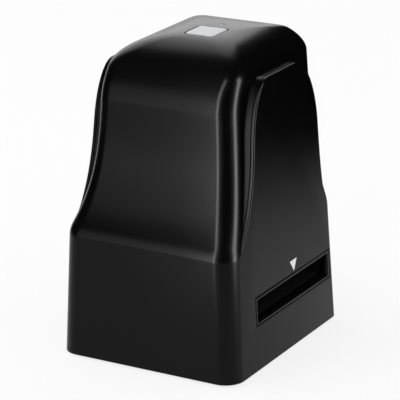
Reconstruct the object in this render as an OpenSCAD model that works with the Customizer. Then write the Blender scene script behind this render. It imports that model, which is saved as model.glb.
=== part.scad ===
// Film negative scanner: a moulded tower on a drafted base. A film slot runs through the base
// from side to side, a lamp sits under it and a lens with its sensor looks down from the tower.
// Millimetres, +Z up, front at -Y, slot mark on +X. Heights in the modules count from the
// housing's lower rim, and stand() lifts everything by the feet.

/* [Housing] */
// Width across the base at the lower rim
base_w = 90; // [84:1:100]
// Depth of the base at the lower rim
base_d = 98; // [92:1:108]
// Height of the housing without feet
body_h = 139.2; // [134:0.2:150]
// Draft of every outer wall in degrees
draft_deg = 2.46; // [1.5:0.01:3.2]
// Thickness of the moulded walls
wall = 2; // [1.6:0.1:2.6]
// Radius of the two front vertical corners
front_corner_r = 9; // [6:0.5:10.5]
// Radius of the two rear vertical corners
rear_corner_r = 4; // [3:0.1:4.1]
// Height where the base turns into the shoulder
shoulder_z = 54.5; // [50:0.5:58]
// Height over which the shoulder rounds over
shoulder_round = 5.5; // [3:0.5:9]
// Distance from the end of the sweep up to the top
sweep_gap = 4.7; // [1:0.1:14]
// Setback of the tower's front from the base's front
tower_front_inset = 14.6; // [10:0.2:17]
// Setback of each tower side from the base's side
tower_side_inset = 5.8; // [5:0.2:8]
// Radius of the tower's front corners
tower_corner_r = 8; // [6:0.5:10]
// Drop of the top's rounding at the sides
top_side_drop = 11.9; // [8:0.1:16]
// Reach of the top's rounding in from the sides
top_side_reach = 25; // [16:0.5:26]
// Drop of the top's rounding at the front
top_front_drop = 26.2; // [16:0.2:30]
// Reach of the top's rounding in from the front
top_front_reach = 31.7; // [20:0.1:32]
// Drop of the top's crown at the rear
top_rear_drop = 3; // [2:0.1:6]
// Reach of the top's crown in from the rear
top_rear_reach = 29.8; // [15:0.2:30]

/* [Side covers] */
// Thickness of the side covers
cover_t = 2; // [1.8:0.1:2.4]
// Gap between the front corner's end and a cover's front edge
cover_front_gap = 0.4; // [0.1:0.1:2]
// Gap between the rear corner's end and a cover's rear edge
cover_rear_gap = 0.1; // [0:0.05:0.2]
// Further setback of the rear edge beside the tower
cover_rear_step = 3; // [1:0.25:5]
// Drop of a cover's arch below the top
arch_drop = 11.9; // [10.5:0.1:20]
// Reach of the arch's front curve
arch_front_reach = 13.5; // [6:0.5:18]
// Height of the arch's front curve
arch_front_h = 26; // [8:0.5:32]
// Reach of the arch's rear curve
arch_rear_reach = 17.5; // [8:0.5:20]
// Height of the arch's rear curve
arch_rear_h = 31; // [12:0.5:36]
// Rounding of a cover's outer edge beside the tower
cover_edge_r = 0.7; // [0.4:0.1:1]
// Width of the shadow groove under a cover's edge
groove_w = 0.5; // [0.3:0.1:0.7]
// Depth of the shadow groove
groove_d = 0.6; // [0.4:0.1:1]
// Diameter of the pegs that hold a cover
peg_d = 2.8; // [2.2:0.1:3.2]

/* [Film slot] */
// Width of the film tunnel
slot_w = 66; // [60:0.5:70]
// Height of the film tunnel
slot_h = 9.9; // [8:0.1:11]
// Height of the tunnel's centre over the lower rim
slot_z = 26.95; // [26:0.05:30]
// Strip that a side cover keeps behind the bezel
slot_rear_strip = 0.36; // [0.3:0.02:4]
// Width of the bezel beside the opening
bezel_side = 1.9; // [1.6:0.1:2.1]
// Width of the bezel over and under the opening
bezel_top = 1.6; // [1.2:0.1:2]
// Gap around the bezel
bezel_gap = 0.2; // [0.15:0.05:0.3]
// Length of the film window along the tunnel
window_l = 40; // [36:1:42]
// Width of the film window across the tunnel
window_w = 28; // [24:1:30]
// Diameter of the click ball
ball_d = 3; // [2.4:0.1:3.4]
// Height of the click ball over the tunnel's floor
ball_rise = 0.9; // [0.6:0.05:1]

/* [Base] */
// Thickness of the base plate
plate_t = 2; // [1.6:0.1:2.6]
// Setback of the base plate inside the lower rim
plate_recess = 0.5; // [0.3:0.1:0.8]
// Diameter of the rubber feet
foot_d = 10; // [8:0.5:12]
// Height of the feet below the lower rim
foot_stand = 1; // [0.8:0.1:2]
// Distance of the feet's middle from the sides of the lower rim
foot_inset_x = 21.5; // [21.5:0.5:24]
// Distance of the feet's middle from the front and rear of the lower rim
foot_inset_y = 18; // [17:0.5:21]

/* [Scan button] */
// Side length of the square button
button_w = 14.2; // [12:0.1:15]
// Rounding of the button's corners
button_corner_r = 1.6; // [1:0.1:2.5]
// Button's centre behind the middle of the base
button_y = 10; // [9:0.1:11]
// Gap around the button
button_gap = 0.3; // [0.2:0.05:0.4]
// Depth of the cap from its top to its flange
button_depth = 2.6; // [2.2:0.1:3]
// Width of the flange that keeps the cap under the housing
button_flange = 1.2; // [0.8:0.1:1.6]
// Travel of the button
button_travel = 0.35; // [0.25:0.05:0.5]
// Height of the button over the housing's top
button_proud = 0.2; // [0:0.05:0.5]
// Diameter of the status light's hole
light_d = 2.4; // [2:0.1:3]
// Distance of the status light behind the button's edge
light_back = 6.9; // [5:0.1:7.5]

/* [Optics] */
// Diameter of the lens barrel
barrel_d = 12; // [10:0.5:13]
// Length of the lens barrel
barrel_l = 16; // [14:0.5:18]
// Distance from the film plane up to the sensor
film_to_sensor = 76; // [72:0.5:80]
// Outer radius of the light hood at the film
hood_r = 27; // [26:0.5:28]
// Thickness of the light hood's wall
hood_wall = 1.6; // [1.2:0.1:2]
// Width of the image sensor
sensor_w = 12; // [8:0.5:14]
// Thickness of the image sensor
sensor_t = 1.48; // [1:0.02:2]

/* [Electronics] */
// Thickness of the circuit boards
board_t = 1.6; // [1.2:0.1:1.8]
// Height of the posts under the main board
post_h = 2.5; // [2:0.1:3]
// Gap between the main board and the walls beside it
board_gap = 4.7; // [1:0.1:6]
// Half spacing of the gate's legs across the width
leg_x = 31.5; // [28:0.5:32]
// Diameter of the gate's legs
leg_d = 6; // [5:0.2:6.4]
// Width of the inlet's socket
inlet_w = 7.7; // [7:0.1:8]
// Height of the inlet's socket
inlet_h = 4; // [3.6:0.1:4.4]
// Length of the inlet's socket
inlet_l = 9.2; // [8:0.1:10]
// Side length of the main processor
chip_w = 16; // [10:0.5:17]
// Length of the memory chip
memory_l = 12; // [8:0.5:13]
// Width of the sensor's flat cable
cable_w = 11; // [6:0.5:12]

/* [Screws] */
// Shank diameter of the base plate's screws
base_screw_d = 2.46; // [2:0.02:2.6]
// Length of the base plate's screws under the head
base_screw_l = 9.5; // [6:0.5:10]
// Shank diameter of the film gate's long screws
gate_screw_d = 2.16; // [1.8:0.02:2.4]
// Length of the film gate's long screws under the head
gate_screw_l = 14; // [10:0.5:15]
// Shank diameter of the small screws inside
small_screw_d = 1.56; // [1.2:0.02:1.8]
// Head diameter of the small screws inside
small_head_d = 3.4; // [2.8:0.1:3.6]
// Head height of the small screws inside
small_head_h = 1.2; // [0.8:0.1:1.4]
// Length of the small screws under the head
small_screw_l = 5; // [3:0.5:5.5]

/* [View] */
// Piece to draw

/* [Hidden] */
$fn = 48;
eps = 0.01;
seat = 0.02;      // air between pieces of one body that rest on each other
run = 0.05;       // running clearance of round sliding pieces
drop_in = 0.2;    // clearance of plates that drop into a frame
slope = tan(draft_deg);
sweep_power = 4;
sweep_h = body_h - shoulder_z - sweep_gap;
arch_z = body_h - arch_drop;
corner_n = 12;    // steps in a front corner of the housing's mesh
rear_n = 6;       // steps in a rear corner

// ---- form of the housing -------------------------------------------------------------------
function clamp(v, a, b) = max(a, min(b, v));
// 0 at the shoulder, 1 at the top of the sweep: a rounded start, then a concave run-out
function sweep_s(z) = let (t = clamp(z - shoulder_z, 0, sweep_h), c = shoulder_round)
    clamp((t < c ? t * t / (2 * c) : t - c / 2) / (sweep_h - c / 2), 0, 1);
function sweep(z) = 1 - pow(1 - sweep_s(z), sweep_power);
// inward reach of an elliptical rounding that starts drop below the top
function crown(z, drop, reach) = let (u = clamp((z - body_h + drop) / drop, 0, 1))
    reach * (1 - sqrt(1 - u * u));
function face_x(z) = base_w / 2 - slope * z;
function side_x(z) = face_x(z) - tower_side_inset * sweep(z) - crown(z, top_side_drop, top_side_reach);
function wall_front(z) = -(base_d / 2 - slope * z) + tower_front_inset * sweep(z);
function front_y(z) = wall_front(z) + crown(z, top_front_drop, top_front_reach);
function wall_rear(z) = base_d / 2 - slope * z;
function rear_y(z) = wall_rear(z) - crown(z, top_rear_drop, top_rear_reach);
function front_r(z) = front_corner_r + (tower_corner_r - front_corner_r) * sweep(z);

// rounded rectangle with its own front and rear corner radii, counted anticlockwise from above
function ring(hx, yf, yr, rf, rr, z, nf = corner_n, nr = rear_n) = let (
        lim = min(hx, (yr - yf) / 2) * 0.96, f = min(rf, lim), r = min(rr, lim)) concat(
    [for (i = [0:nr]) let (a = 90 * i / nr) [hx - r + r * cos(a), yr - r + r * sin(a), z]],
    [for (i = [0:nr]) let (a = 90 + 90 * i / nr) [-hx + r + r * cos(a), yr - r + r * sin(a), z]],
    [for (i = [0:nf]) let (a = 180 + 90 * i / nf) [-hx + f + f * cos(a), yf + f + f * sin(a), z]],
    [for (i = [0:nf]) let (a = 270 + 90 * i / nf) [hx - f + f * cos(a), yf + f + f * sin(a), z]]);

// closed skin through a stack of rings that all have the same number of points
module skin(rings) {
    n = len(rings[0]);
    m = len(rings);
    points = [for (r = rings) each r];
    sides = [for (i = [0:m - 2]) for (j = [0:n - 1]) let (k = (j + 1) % n)
        each [[i * n + j, (i + 1) * n + j, (i + 1) * n + k], [i * n + j, (i + 1) * n + k, i * n + k]]];
    ends = [[for (j = [0:n - 1]) j], [for (j = [n - 1:-1:0]) (m - 1) * n + j]];
    polyhedron(points = points, faces = concat(sides, ends), convexity = 6);
}

// heights at which the housing's rings lie: close together at the shoulder and near the top
sweep_levels = [0.012, 0.025, 0.04, 0.055, 0.075, 0.1, 0.13, 0.165, 0.205, 0.25, 0.3, 0.36, 0.42, 0.5, 0.6];
function levels(top, step) = concat([0, shoulder_z],
    [for (s = sweep_levels) let (z = shoulder_z + s * sweep_h) if (z < top - top_front_drop - 1) z],
    [for (a = [0:step:90]) top - top_front_drop * (1 - sin(a))]);

// outline of a side cover in the plane of the side, as [y, z], clockwise seen from +X
function edge_front(z) = wall_front(z) + front_corner_r + cover_front_gap;
function edge_rear(z) = wall_rear(z) - rear_corner_r - cover_rear_gap
    - cover_rear_step * sweep(min(body_h, shoulder_z + 1.6 * (z - shoulder_z)));
front_top = arch_z - arch_front_h;
rear_top = arch_z - arch_rear_h;
cover_top = min(front_top, rear_top);
cover_levels = concat([-1, shoulder_z - 2],
    [for (s = concat([0], sweep_levels)) shoulder_z + 1 + s * (cover_top - shoulder_z - 1) / 0.62]);
cover_outline = concat(
    [for (z = cover_levels) [edge_front(z), z]],
    [for (a = [0:9:90]) let (z = front_top + arch_front_h * sin(a))
        [edge_front(z) + arch_front_reach * (1 - cos(a)), z]],
    [for (a = [90:-9:0]) let (z = rear_top + arch_rear_h * sin(a))
        [edge_rear(z) - arch_rear_reach * (1 - cos(a)), z]],
    [for (i = [len(cover_levels) - 1:-1:0]) [edge_rear(cover_levels[i]), cover_levels[i]]]);
cover_n = len(cover_outline);
// the same outline moved inwards by d; its foot stays level, 1 under the lower rim
function unit(v) = v / norm(v);
function inner_normal(i) = i == 0 ? [1, 0] : i == cover_n - 1 ? [-1, 0]
    : let (t = unit(cover_outline[i + 1] - cover_outline[i - 1])) [t[1], -t[0]];
function moved(i, d) = cover_outline[i] + d * inner_normal(i);
function moved_outline(d) = [for (i = [0:cover_n - 1]) moved(i, d)];

// everything above z0 and between the two side planes, set in by depth on each side
module between_sides(depth, z0) {
    rotate([90, 0, 0])
        translate([0, 0, -base_d])
            linear_extrude(2 * base_d)
                polygon([[-face_x(z0) + depth, z0], [face_x(z0) - depth, z0],
                    [face_x(body_h) - depth, body_h], [-face_x(body_h) + depth, body_h]]);
}
// a prism along X with an outline in Y and Z
module along_x(outline, half) {
    rotate([90, 0, 90])
        translate([0, 0, -half])
            linear_extrude(2 * half)
                polygon(outline);
}
module box(x0, x1, y0, y1, z0, z1) {
    translate([x0, y0, z0])
        cube([x1 - x0, y1 - y0, z1 - z0]);
}
// a flat plate with round corners, centred on x and y
module round_plate(w, d, r, z0, z1) {
    translate([0, 0, z0])
        linear_extrude(z1 - z0) {
            square([w, d - 2 * r], center = true);
            square([w - 2 * r, d], center = true);
            for (sx = [-1, 1], sy = [-1, 1])
                translate([sx * (w / 2 - r), sy * (d / 2 - r)])
                    circle(r);
        }
}
// the same with small corners at the rear
module corner_plate(x, y0, y1, rf, rr, z0, z1) {
    translate([0, 0, z0])
        linear_extrude(z1 - z0) {
            translate([-x, y0 + rf])
                square([2 * x, y1 - y0 - rf - rr]);
            translate([-x + rf, y0])
                square([2 * (x - rf), rf]);
            translate([-x + rr, y1 - rr - eps])
                square([2 * (x - rr), rr + eps]);
            for (sx = [-1, 1]) {
                translate([sx * (x - rf), y0 + rf])
                    circle(rf);
                translate([sx * (x - rr), y1 - rr])
                    circle(rr);
            }
        }
}
module post(x, y, r, z0, z1) {
    translate([x, y, z0])
        cylinder(r = r, h = z1 - z0);
}
module stand() {
    translate([0, 0, foot_stand])
        children();
}
// screw with its head at the bottom and its shank upwards
module screw(head_d, head_h, shank_d, length) {
    difference() {
        cylinder(d = head_d, h = head_h);
        translate([0, 0, -eps])
            cylinder(d = head_d * 0.45, h = head_h * 0.55, $fn = 6);
    }
    translate([0, 0, head_h - eps])
        cylinder(d = shank_d, h = length + eps);
}
module small_screw(length) screw(small_head_d, small_head_h, small_screw_d, length);

// ---- places shared by the pieces -------------------------------------------------------------
side_in = cover_t + wall;                          // from a side plane to the inside of the wall
rib = 0.8 * wall;                                  // thickness of ribs and webs
floor_z = slot_z - slot_h / 2;
ceiling_z = slot_z + slot_h / 2;
bezel_w = slot_w + 2 * bezel_side;
bezel_h = slot_h + 2 * bezel_top;
slot_y = wall_rear(slot_z + bezel_h / 2) - rear_corner_r - cover_rear_gap - slot_rear_strip - bezel_w / 2;
foot_x = base_w / 2 - foot_inset_x;
foot_y = base_d / 2 - foot_inset_y;
board_x = face_x(0) - side_in - board_gap;
gate_t = 2.2;
rail_t = bezel_side - 0.3;
gate_x = face_x(slot_z + bezel_h / 2) - side_in - 0.4;
lid_t = 2;
lid_top = ceiling_z + lid_t;
plate_z = plate_recess;
plate_top = plate_z + plate_t;
board_z = plate_top + post_h;
board_top = board_z + board_t;
leg_front = slot_y - slot_w / 2 + 4;
leg_rear = slot_y + slot_w / 2 - 4;
pilot = 0.02;                                      // air around a screw in its own hole
free_hole = 0.3;                                   // air around a screw that passes through a plate
boss_wall = 1.95;
boss_r = base_screw_d / 2 + pilot + boss_wall;
boss_x = base_w / 2 - side_in - boss_r - 1;
boss_front = -base_d / 2 + wall + boss_r + 2.8;
boss_rear = base_d / 2 - wall - boss_r - 1.4;
boss_h = base_screw_l + 4.5;
base_head_d = 2.2 * base_screw_d;
base_head_h = 1.58;
gate_head_d = 2.13 * gate_screw_d;
gate_head_h = 1.58;
small_pilot = small_screw_d / 2 + pilot;
small_free = small_screw_d / 2 + free_hole;
peg_low = 9;          // height of the lower pegs
peg_high = arch_z - 19.3;
peg_y = [-13, 18];    // upper pegs from the middle of the slot
peg_places = [[leg_front - 2 * peg_d, peg_low], [slot_y + slot_w / 2 - peg_d / 2, peg_low],
    for (d = peg_y) [slot_y + d, peg_high]];
board_edge = 2.5;     // board around the middle of its screws
mouth = 12;           // depth of the cuts through the top
diode_r = 1.1;        // dome of the status light
diode_h = 2.6;
diode_rim = 0.4;
rib_y = [-12, 4, 20]; // stiffening ribs of the base plate
web_h = 18;           // height and reach of the chassis ribs over the holder
web_w = 6;
sensor_z = floor_z + 1 + film_to_sensor;           // lower face of the image sensor
sensor_board_z = sensor_z + sensor_t + seat;
barrel_top = sensor_z - 5;
barrel_bottom = barrel_top - barrel_l;
hood_top = barrel_bottom + 4;
flange_z = barrel_top - 2;
switch_h = 4.6;
flange_h = 1;
cap_bottom = body_h - button_depth - flange_h;
switch_board_top = cap_bottom - switch_h;
switch_board_z = switch_board_top - 1.2;
light_y = button_y + button_w / 2 + light_back;
button_post_x = button_w / 2 + 4.6;
button_post_y = button_y - 5;
board_margin = 4;

module feet_places() {
    for (sx = [-1, 1], sy = [-1, 1])
        translate([sx * foot_x, sy * foot_y, 0])
            children();
}
module leg_places() {
    for (sx = [-1, 1], y = [leg_front, leg_rear])
        translate([sx * leg_x, y, 0])
            children();
}
module button_post_places() {
    for (sx = [-1, 1], y = [button_post_y, light_y])
        translate([sx * button_post_x, y, 0])
            children();
}
module boss_places() {
    for (sx = [-1, 1], y = [boss_front, boss_rear])
        translate([sx * boss_x, y, 0])
            children();
}

// ---- housing and covers -----------------------------------------------------------------------
module outer_form() {
    skin([for (z = levels(body_h, 5))
        ring(side_x(z), front_y(z), rear_y(z), front_r(z), rear_corner_r, z)]);
}
module inner_form() {
    top = body_h - wall;
    fit = body_h / top;
    skin(concat([ring(face_x(-1) - side_in, wall_front(-1) + wall, wall_rear(-1) - wall,
            front_corner_r - wall, rear_corner_r - wall, -1, 5, 3)],
        [for (z = [shoulder_z - 3, shoulder_z, for (s = [0.03, 0.07, 0.13, 0.22, 0.34, 0.5])
                shoulder_z + s * sweep_h, for (a = [0:15:90]) top - top_front_drop * (1 - sin(a))])
            let (o = z * fit) ring(min(face_x(z) - side_in, side_x(z > top - top_front_drop ? o : z) - wall),
                front_y(z > top - top_front_drop ? o : z) + wall,
                rear_y(z > top - top_front_drop ? o : z) - wall,
                front_r(z) - wall, rear_corner_r - wall, z, 5, 3)]));
}
// the raised bell on each side of the tower, or its inside
module bell_block(depth, inset, z0) {
    intersection() {
        along_x(moved_outline(inset), base_w);
        between_sides(depth, z0);
    }
}
module cover_pockets() {
    difference() {
        along_x(moved_outline(-run), base_w);
        between_sides(cover_t, -2);
    }
}
module slot_cut() {
    box(-base_w, base_w, slot_y - bezel_w / 2, slot_y + bezel_w / 2, slot_z - bezel_h / 2,
        slot_z + bezel_h / 2);
}
module main_housing() color("#1b1b1d") stand() {
    difference() {
        union() {
            difference() {
                outer_form();
                cover_pockets();
            }
            bell_block(cover_t, 0, 0);
        }
        difference() {
            union() {
                inner_form();
                bell_block(side_in, wall, -1);
            }
            // screw bosses of the base plate, joined to the walls
            boss_places()
                post(0, 0, boss_r, plate_top, plate_top + boss_h);
            for (sx = [-1, 1], y = [boss_front, boss_rear])
                box(min(sx * boss_x, sx * base_w / 2), max(sx * boss_x, sx * base_w / 2), y - rib / 2,
                    y + rib / 2, plate_top, plate_top + boss_h);
            // posts that carry the button's board
            button_post_places()
                post(0, 0, small_pilot + 1.5, switch_board_top + seat, body_h);
            // collar of the status light
            post(0, light_y, light_d / 2 + 1.2, body_h - 4.6, body_h);
        }
        boss_places()
            post(0, 0, base_screw_d / 2 + pilot, plate_top - 1, plate_top + boss_h - rib);
        button_post_places()
            post(0, 0, small_pilot, switch_board_top - 1, switch_board_top + small_screw_l);
        slot_cut();
        translate([0, button_y, 0])
            round_plate(button_w + 2 * button_gap, button_w + 2 * button_gap, button_corner_r + button_gap,
                body_h - mouth, body_h + mouth);
        post(0, light_y, light_d / 2 + run, body_h - mouth, body_h + mouth);
        for (sx = [-1, 1], p = peg_places)
            translate([sx * (face_x(p[1]) - side_in - 1), p[0], p[1]])
                rotate([0, sx * 90, 0])
                    cylinder(d = peg_d + 2 * run, h = side_in);
        // opening for the inlet in the rear wall
        inlet_cut();
    }
}
module inlet_cut() {
    translate([0, base_d / 2 - 3 * wall, board_top + inlet_h / 2 + seat])
        rotate([-90, 0, 0])
            round_plate(inlet_w + 0.8, inlet_h + 0.8, 1, 0, 4 * wall);
}

// how far a cover stands free of the housing: not at all in the base, fully beside the tower
function free(z) = clamp((z - shoulder_z - 2) / 7, 0, 1);
function cover_ring(groove, depth, share, edge) = [for (i = [0:cover_n - 1]) let (
        f = free(cover_outline[i][1]), e = cover_edge_r * max(f, 0.25), p = moved(i, groove * f + share * e))
    [p[0], p[1], depth + edge * e]];
function to_side(r) = [for (i = [cover_n - 1:-1:0]) let (p = r[i]) [face_x(p[1]) - p[2], p[0], p[1]]];
// the slab between the side plane and the housing, cut to the bell with its groove and round edge
module cover_plate() {
    back = cover_t - seat;
    intersection() {
        difference() {
            between_sides(0, 0);
            between_sides(back, -1);
            slot_cut();
        }
        skin([for (q = [[groove_d, back + 1, 0, 0], [groove_d, back - groove_w * 0.8, 0, 0],
                [0, back - groove_w, 0, 0], [0, 0, 0, 1], [0, 0, 0.29, 0.29], [0, -0.5, 1.3, 0]])
            to_side(cover_ring(q[0], q[1], q[2], q[3]))]);
    }
}
module side_cover() {
    cover_plate();
    for (p = peg_places)
        translate([face_x(p[1]) - cover_t - wall, p[0], p[1]])
            rotate([0, 90, 0])
                cylinder(d = peg_d, h = wall + cover_t / 2);
}
module side_cover_right() color("#202022") stand() side_cover();
module side_cover_left() color("#202022") stand() mirror([1, 0, 0]) side_cover();

module bezel() {
    g = bezel_gap;
    m = 1;
    difference() {
        intersection() {
            box(gate_x + 0.15, base_w / 2, slot_y - bezel_w / 2 + g, slot_y + bezel_w / 2 - g,
                slot_z - bezel_h / 2 + g, slot_z + bezel_h / 2 - g);
            between_sides(0, 0);
        }
        box(0, base_w, slot_y - slot_w / 2, slot_y + slot_w / 2, floor_z, ceiling_z);
        // bevel at the mouth
        x1 = face_x(slot_z) + 0.2;
        skin([for (q = [[x1 - m, 0], [x1 + 0.4, 0.5 * (m + 0.4)]]) let (
                a = slot_y - slot_w / 2 - q[1], b = slot_y + slot_w / 2 + q[1],
                c = floor_z - q[1], d = ceiling_z + q[1])
            [[q[0], a, c], [q[0], b, c], [q[0], b, d], [q[0], a, d]]]);
    }
}
module slot_bezel_right() color("#1a1a1c") stand() bezel();
module slot_bezel_left() color("#1a1a1c") stand() mirror([1, 0, 0]) bezel();

// ---- base --------------------------------------------------------------------------------------
module base_plate() color("#232325") stand() {
    x = face_x(plate_top) - side_in - drop_in;
    y0 = wall_front(plate_top) + wall + drop_in;
    y1 = wall_rear(plate_top) - wall - drop_in;
    difference() {
        union() {
            corner_plate(x, y0, y1, front_corner_r - wall, rear_corner_r - wall, plate_z, plate_top);
            leg_places()
                post(0, 0, leg_d / 2, plate_top - eps, board_z - seat);
            // stiffening ribs
            for (y = rib_y)
                box(-foot_x + foot_d / 2, foot_x - foot_d / 2, y - rib / 2, y + rib / 2, plate_top - eps,
                    plate_top + rib);
        }
        leg_places() {
            post(0, 0, gate_screw_d / 2 + free_hole, 0, board_z + 1);
            post(0, 0, gate_head_d / 2 + free_hole, plate_z - 1, plate_z + gate_head_h + seat);
        }
        boss_places() {
            post(0, 0, base_screw_d / 2 + free_hole, 0, plate_top + 1);
            post(0, 0, base_head_d / 2 + free_hole, plate_z - 1, plate_z - head_proud + base_head_h + seat);
        }
        feet_places()
            post(0, 0, foot_d / 2 + 0.1, plate_z - 1, plate_z + foot_seat);
    }
}
foot_seat = 0.3 * plate_t;
foot_edge = 0.5;
head_proud = 0.4;
module foot() color("#111112") stand() {
    translate([0, 0, -foot_stand])
        rotate_extrude()
            polygon([[0, 0], [foot_d / 2 - foot_edge, 0], [foot_d / 2, foot_edge],
                [foot_d / 2, foot_stand + plate_z + foot_seat - seat],
                [0, foot_stand + plate_z + foot_seat - seat]]);
}
module foot_front_right() translate([foot_x, -foot_y, 0]) foot();
module foot_front_left() translate([-foot_x, -foot_y, 0]) foot();
module foot_rear_right() translate([foot_x, foot_y, 0]) foot();
module foot_rear_left() translate([-foot_x, foot_y, 0]) foot();
module base_screws() color("#9a9da1") stand() {
    boss_places()
        translate([0, 0, plate_z - head_proud])
            screw(base_head_d, base_head_h, base_screw_d, base_screw_l);
}
module gate_screws() color("#9a9da1") stand() {
    leg_places()
        translate([0, 0, plate_z])
            screw(gate_head_d, gate_head_h, gate_screw_d, gate_screw_l);
}

// ---- film gate ---------------------------------------------------------------------------------
ball_x = 0;
ball_y = slot_y + slot_w / 2 - 4.5;
ball_z = floor_z + ball_rise - ball_d / 2;
well_depth = 8.2;
well_bottom = floor_z - well_depth;
well_floor = 1;
lid_screw_l = 7;
window_ledge = 1;
ear_y = slot_y - slot_w / 2 - rail_t - 2.2;
ear_x = gate_x - 9;
ear_r = small_free + 1.5;
module ears(r, z0, z1) {
    for (sx = [-1, 1])
        post(sx * ear_x, ear_y, r, z0, z1);
}
module film_gate_lower() color("#2b2b2e") stand() {
    difference() {
        union() {
            box(-gate_x, gate_x, slot_y - slot_w / 2 - rail_t, slot_y + slot_w / 2 + rail_t, floor_z - gate_t,
                ceiling_z - seat);
            leg_places()
                post(0, 0, leg_d / 2, board_top + seat, floor_z - gate_t + eps);
            ears(ear_r, floor_z - gate_t, ceiling_z - seat);
            for (sx = [-1, 1])
                box(sx * ear_x - rib, sx * ear_x + rib, ear_y, ear_y + ear_r + 0.5, floor_z - gate_t, slot_z);
            // well of the click ball
            post(ball_x, ball_y, ball_d / 2 + 1.3, well_bottom - well_floor, floor_z - gate_t + eps);
        }
        box(-base_w, base_w, slot_y - slot_w / 2, slot_y + slot_w / 2, floor_z, ceiling_z + 1);
        box(-window_l / 2 - window_ledge, window_l / 2 + window_ledge, slot_y - window_w / 2 - window_ledge,
            slot_y + window_w / 2 + window_ledge, floor_z - gate_t - 1, floor_z + 1);
        leg_places()
            post(0, 0, gate_screw_d / 2 + pilot, board_top - 1, plate_z + gate_head_h + gate_screw_l + 1.5);
        ears(small_pilot, ceiling_z + lid_t - lid_screw_l - 1, ceiling_z + 1);
        translate([ball_x, ball_y, 0])
            rotate_extrude()
                polygon([[0, well_bottom], [ball_d / 2 + run, well_bottom], [ball_d / 2 + run, ball_z + 0.2],
                    [sqrt(pow(ball_d / 2, 2) - pow(ball_d / 2 - ball_rise, 2)) + run, floor_z],
                    [sqrt(pow(ball_d / 2, 2) - pow(ball_d / 2 - ball_rise, 2)) + run, floor_z + 1],
                    [0, floor_z + 1]]);
    }
}
tab_x = leg_x - 7.5;
tab_w = 8;
tab_t = 1.2;
module film_gate_upper() color("#2b2b2e") stand() {
    y0 = slot_y - slot_w / 2 - rail_t;
    y1 = slot_y + slot_w / 2 + rail_t;
    difference() {
        union() {
            box(-gate_x, gate_x, y0, y1, ceiling_z, lid_top);
            ears(ear_r, ceiling_z, lid_top);
            // tabs that hook over the rear rail
            for (sx = [-1, 1])
                union() {
                    box(sx * tab_x - tab_w / 2, sx * tab_x + tab_w / 2, y1 + seat, y1 + tab_t,
                        slot_z, lid_top);
                    box(sx * tab_x - tab_w / 2, sx * tab_x + tab_w / 2, y1 - 1, y1 + tab_t,
                        ceiling_z, lid_top);
                }
        }
        box(-window_l / 2, window_l / 2, slot_y - window_w / 2, slot_y + window_w / 2,
            ceiling_z - 1, lid_top + 1);
        ears(small_free, ceiling_z - 1, lid_top + 1);
        for (sx = [-1, 1], sy = [-1, 1])
            post(sx * flange_x, slot_y + sy * flange_y, small_pilot, lid_top - 0.8 * lid_t, lid_top + 1);
    }
}
module lid_screws() color("#9a9da1") stand() {
    for (sx = [-1, 1])
        translate([sx * ear_x, ear_y, lid_top + small_head_h + seat])
            rotate([180, 0, 0])
                small_screw(lid_screw_l);
}
module click_ball() color("#c9ccd0") stand() {
    translate([ball_x, ball_y, ball_z])
        sphere(d = ball_d);
}
spring_wire = 0.36;
spring_turns = 6;
spring_steps = 12;
spring_r = ball_d / 2 - spring_wire / 2 - 0.1;
spring_z0 = well_bottom + seat + spring_wire / 2;
spring_z1 = ball_z - ball_d / 2 * 0.62 - spring_wire;
// height along the coil; the closed end turns climb gently
function coil_z(t) = spring_z0 + 1.5 * spring_wire * t + (spring_z1 - spring_z0 - 1.5 * spring_wire)
    * clamp((t - 0.75 / spring_turns) / (1 - 1.5 / spring_turns), 0, 1);
module click_spring() color("#b9bcc0") stand() {
    count = spring_turns * spring_steps;
    translate([ball_x, ball_y, 0])
        skin([for (i = [0:count]) let (a = -360 * i / spring_steps, z = coil_z(i / count))
            [for (k = [0:5]) let (b = 60 * k, r = spring_r + spring_wire / 2 * cos(b))
                [r * cos(a), r * sin(a), z + spring_wire / 2 * sin(b)]]]);
}

// ---- lamp under the film ------------------------------------------------------------------------
lamp_wall = 1.5;
lamp_l = window_l + 4 * lamp_wall;
lamp_w = window_w + 4 * lamp_wall;
lamp_top = floor_z - gate_t - seat;
socket_h = 2.6;
lamp_z = board_top + socket_h;
lamp_board_z = lamp_z + 1;
lamp_board_t = 1;
module lamp_box() color("#e6e7e4") stand() {
    difference() {
        box(-lamp_l / 2, lamp_l / 2, slot_y - lamp_w / 2, slot_y + lamp_w / 2, lamp_z, lamp_top);
        box(-lamp_l / 2 + lamp_wall, lamp_l / 2 - lamp_wall, slot_y - lamp_w / 2 + lamp_wall,
            slot_y + lamp_w / 2 - lamp_wall, lamp_board_z, lamp_top - 2);
        box(-window_l / 2, window_l / 2, slot_y - window_w / 2, slot_y + window_w / 2,
            lamp_board_z, lamp_top + 1);
        // slot for the lead's socket
        box(-lamp_l / 2 + 4, -lamp_l / 2 + 12, slot_y - 3, slot_y + 3, lamp_z - 1, lamp_board_z + 1);
    }
}
module lamp_board() color("#e9ebe6") stand() {
    edge = lamp_wall + drop_in;
    box(-lamp_l / 2 + edge, lamp_l / 2 - edge, slot_y - lamp_w / 2 + edge, slot_y + lamp_w / 2 - edge,
        lamp_board_z + seat, lamp_board_z + lamp_board_t);
}
module lamp_diodes() color("#f2e6a2") stand() {
    for (i = [-2:2], j = [-1, 0, 1])
        translate([i * window_l / 5, slot_y + j * window_w / 3.4, 0]) {
            box(-1.7, 1.7, -1.4, 1.4, lamp_board_z + lamp_board_t + seat, lamp_board_z + lamp_board_t + 0.8);
            post(0, 0, 1.1, lamp_board_z + lamp_board_t + 0.7, lamp_board_z + lamp_board_t + 1);
        }
}
module lamp_socket() color("#f0efe8") stand() {
    box(-lamp_l / 2 + 4.4, -lamp_l / 2 + 11.6, slot_y - 2.6, slot_y + 2.6, board_top + seat, lamp_board_z);
}
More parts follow.
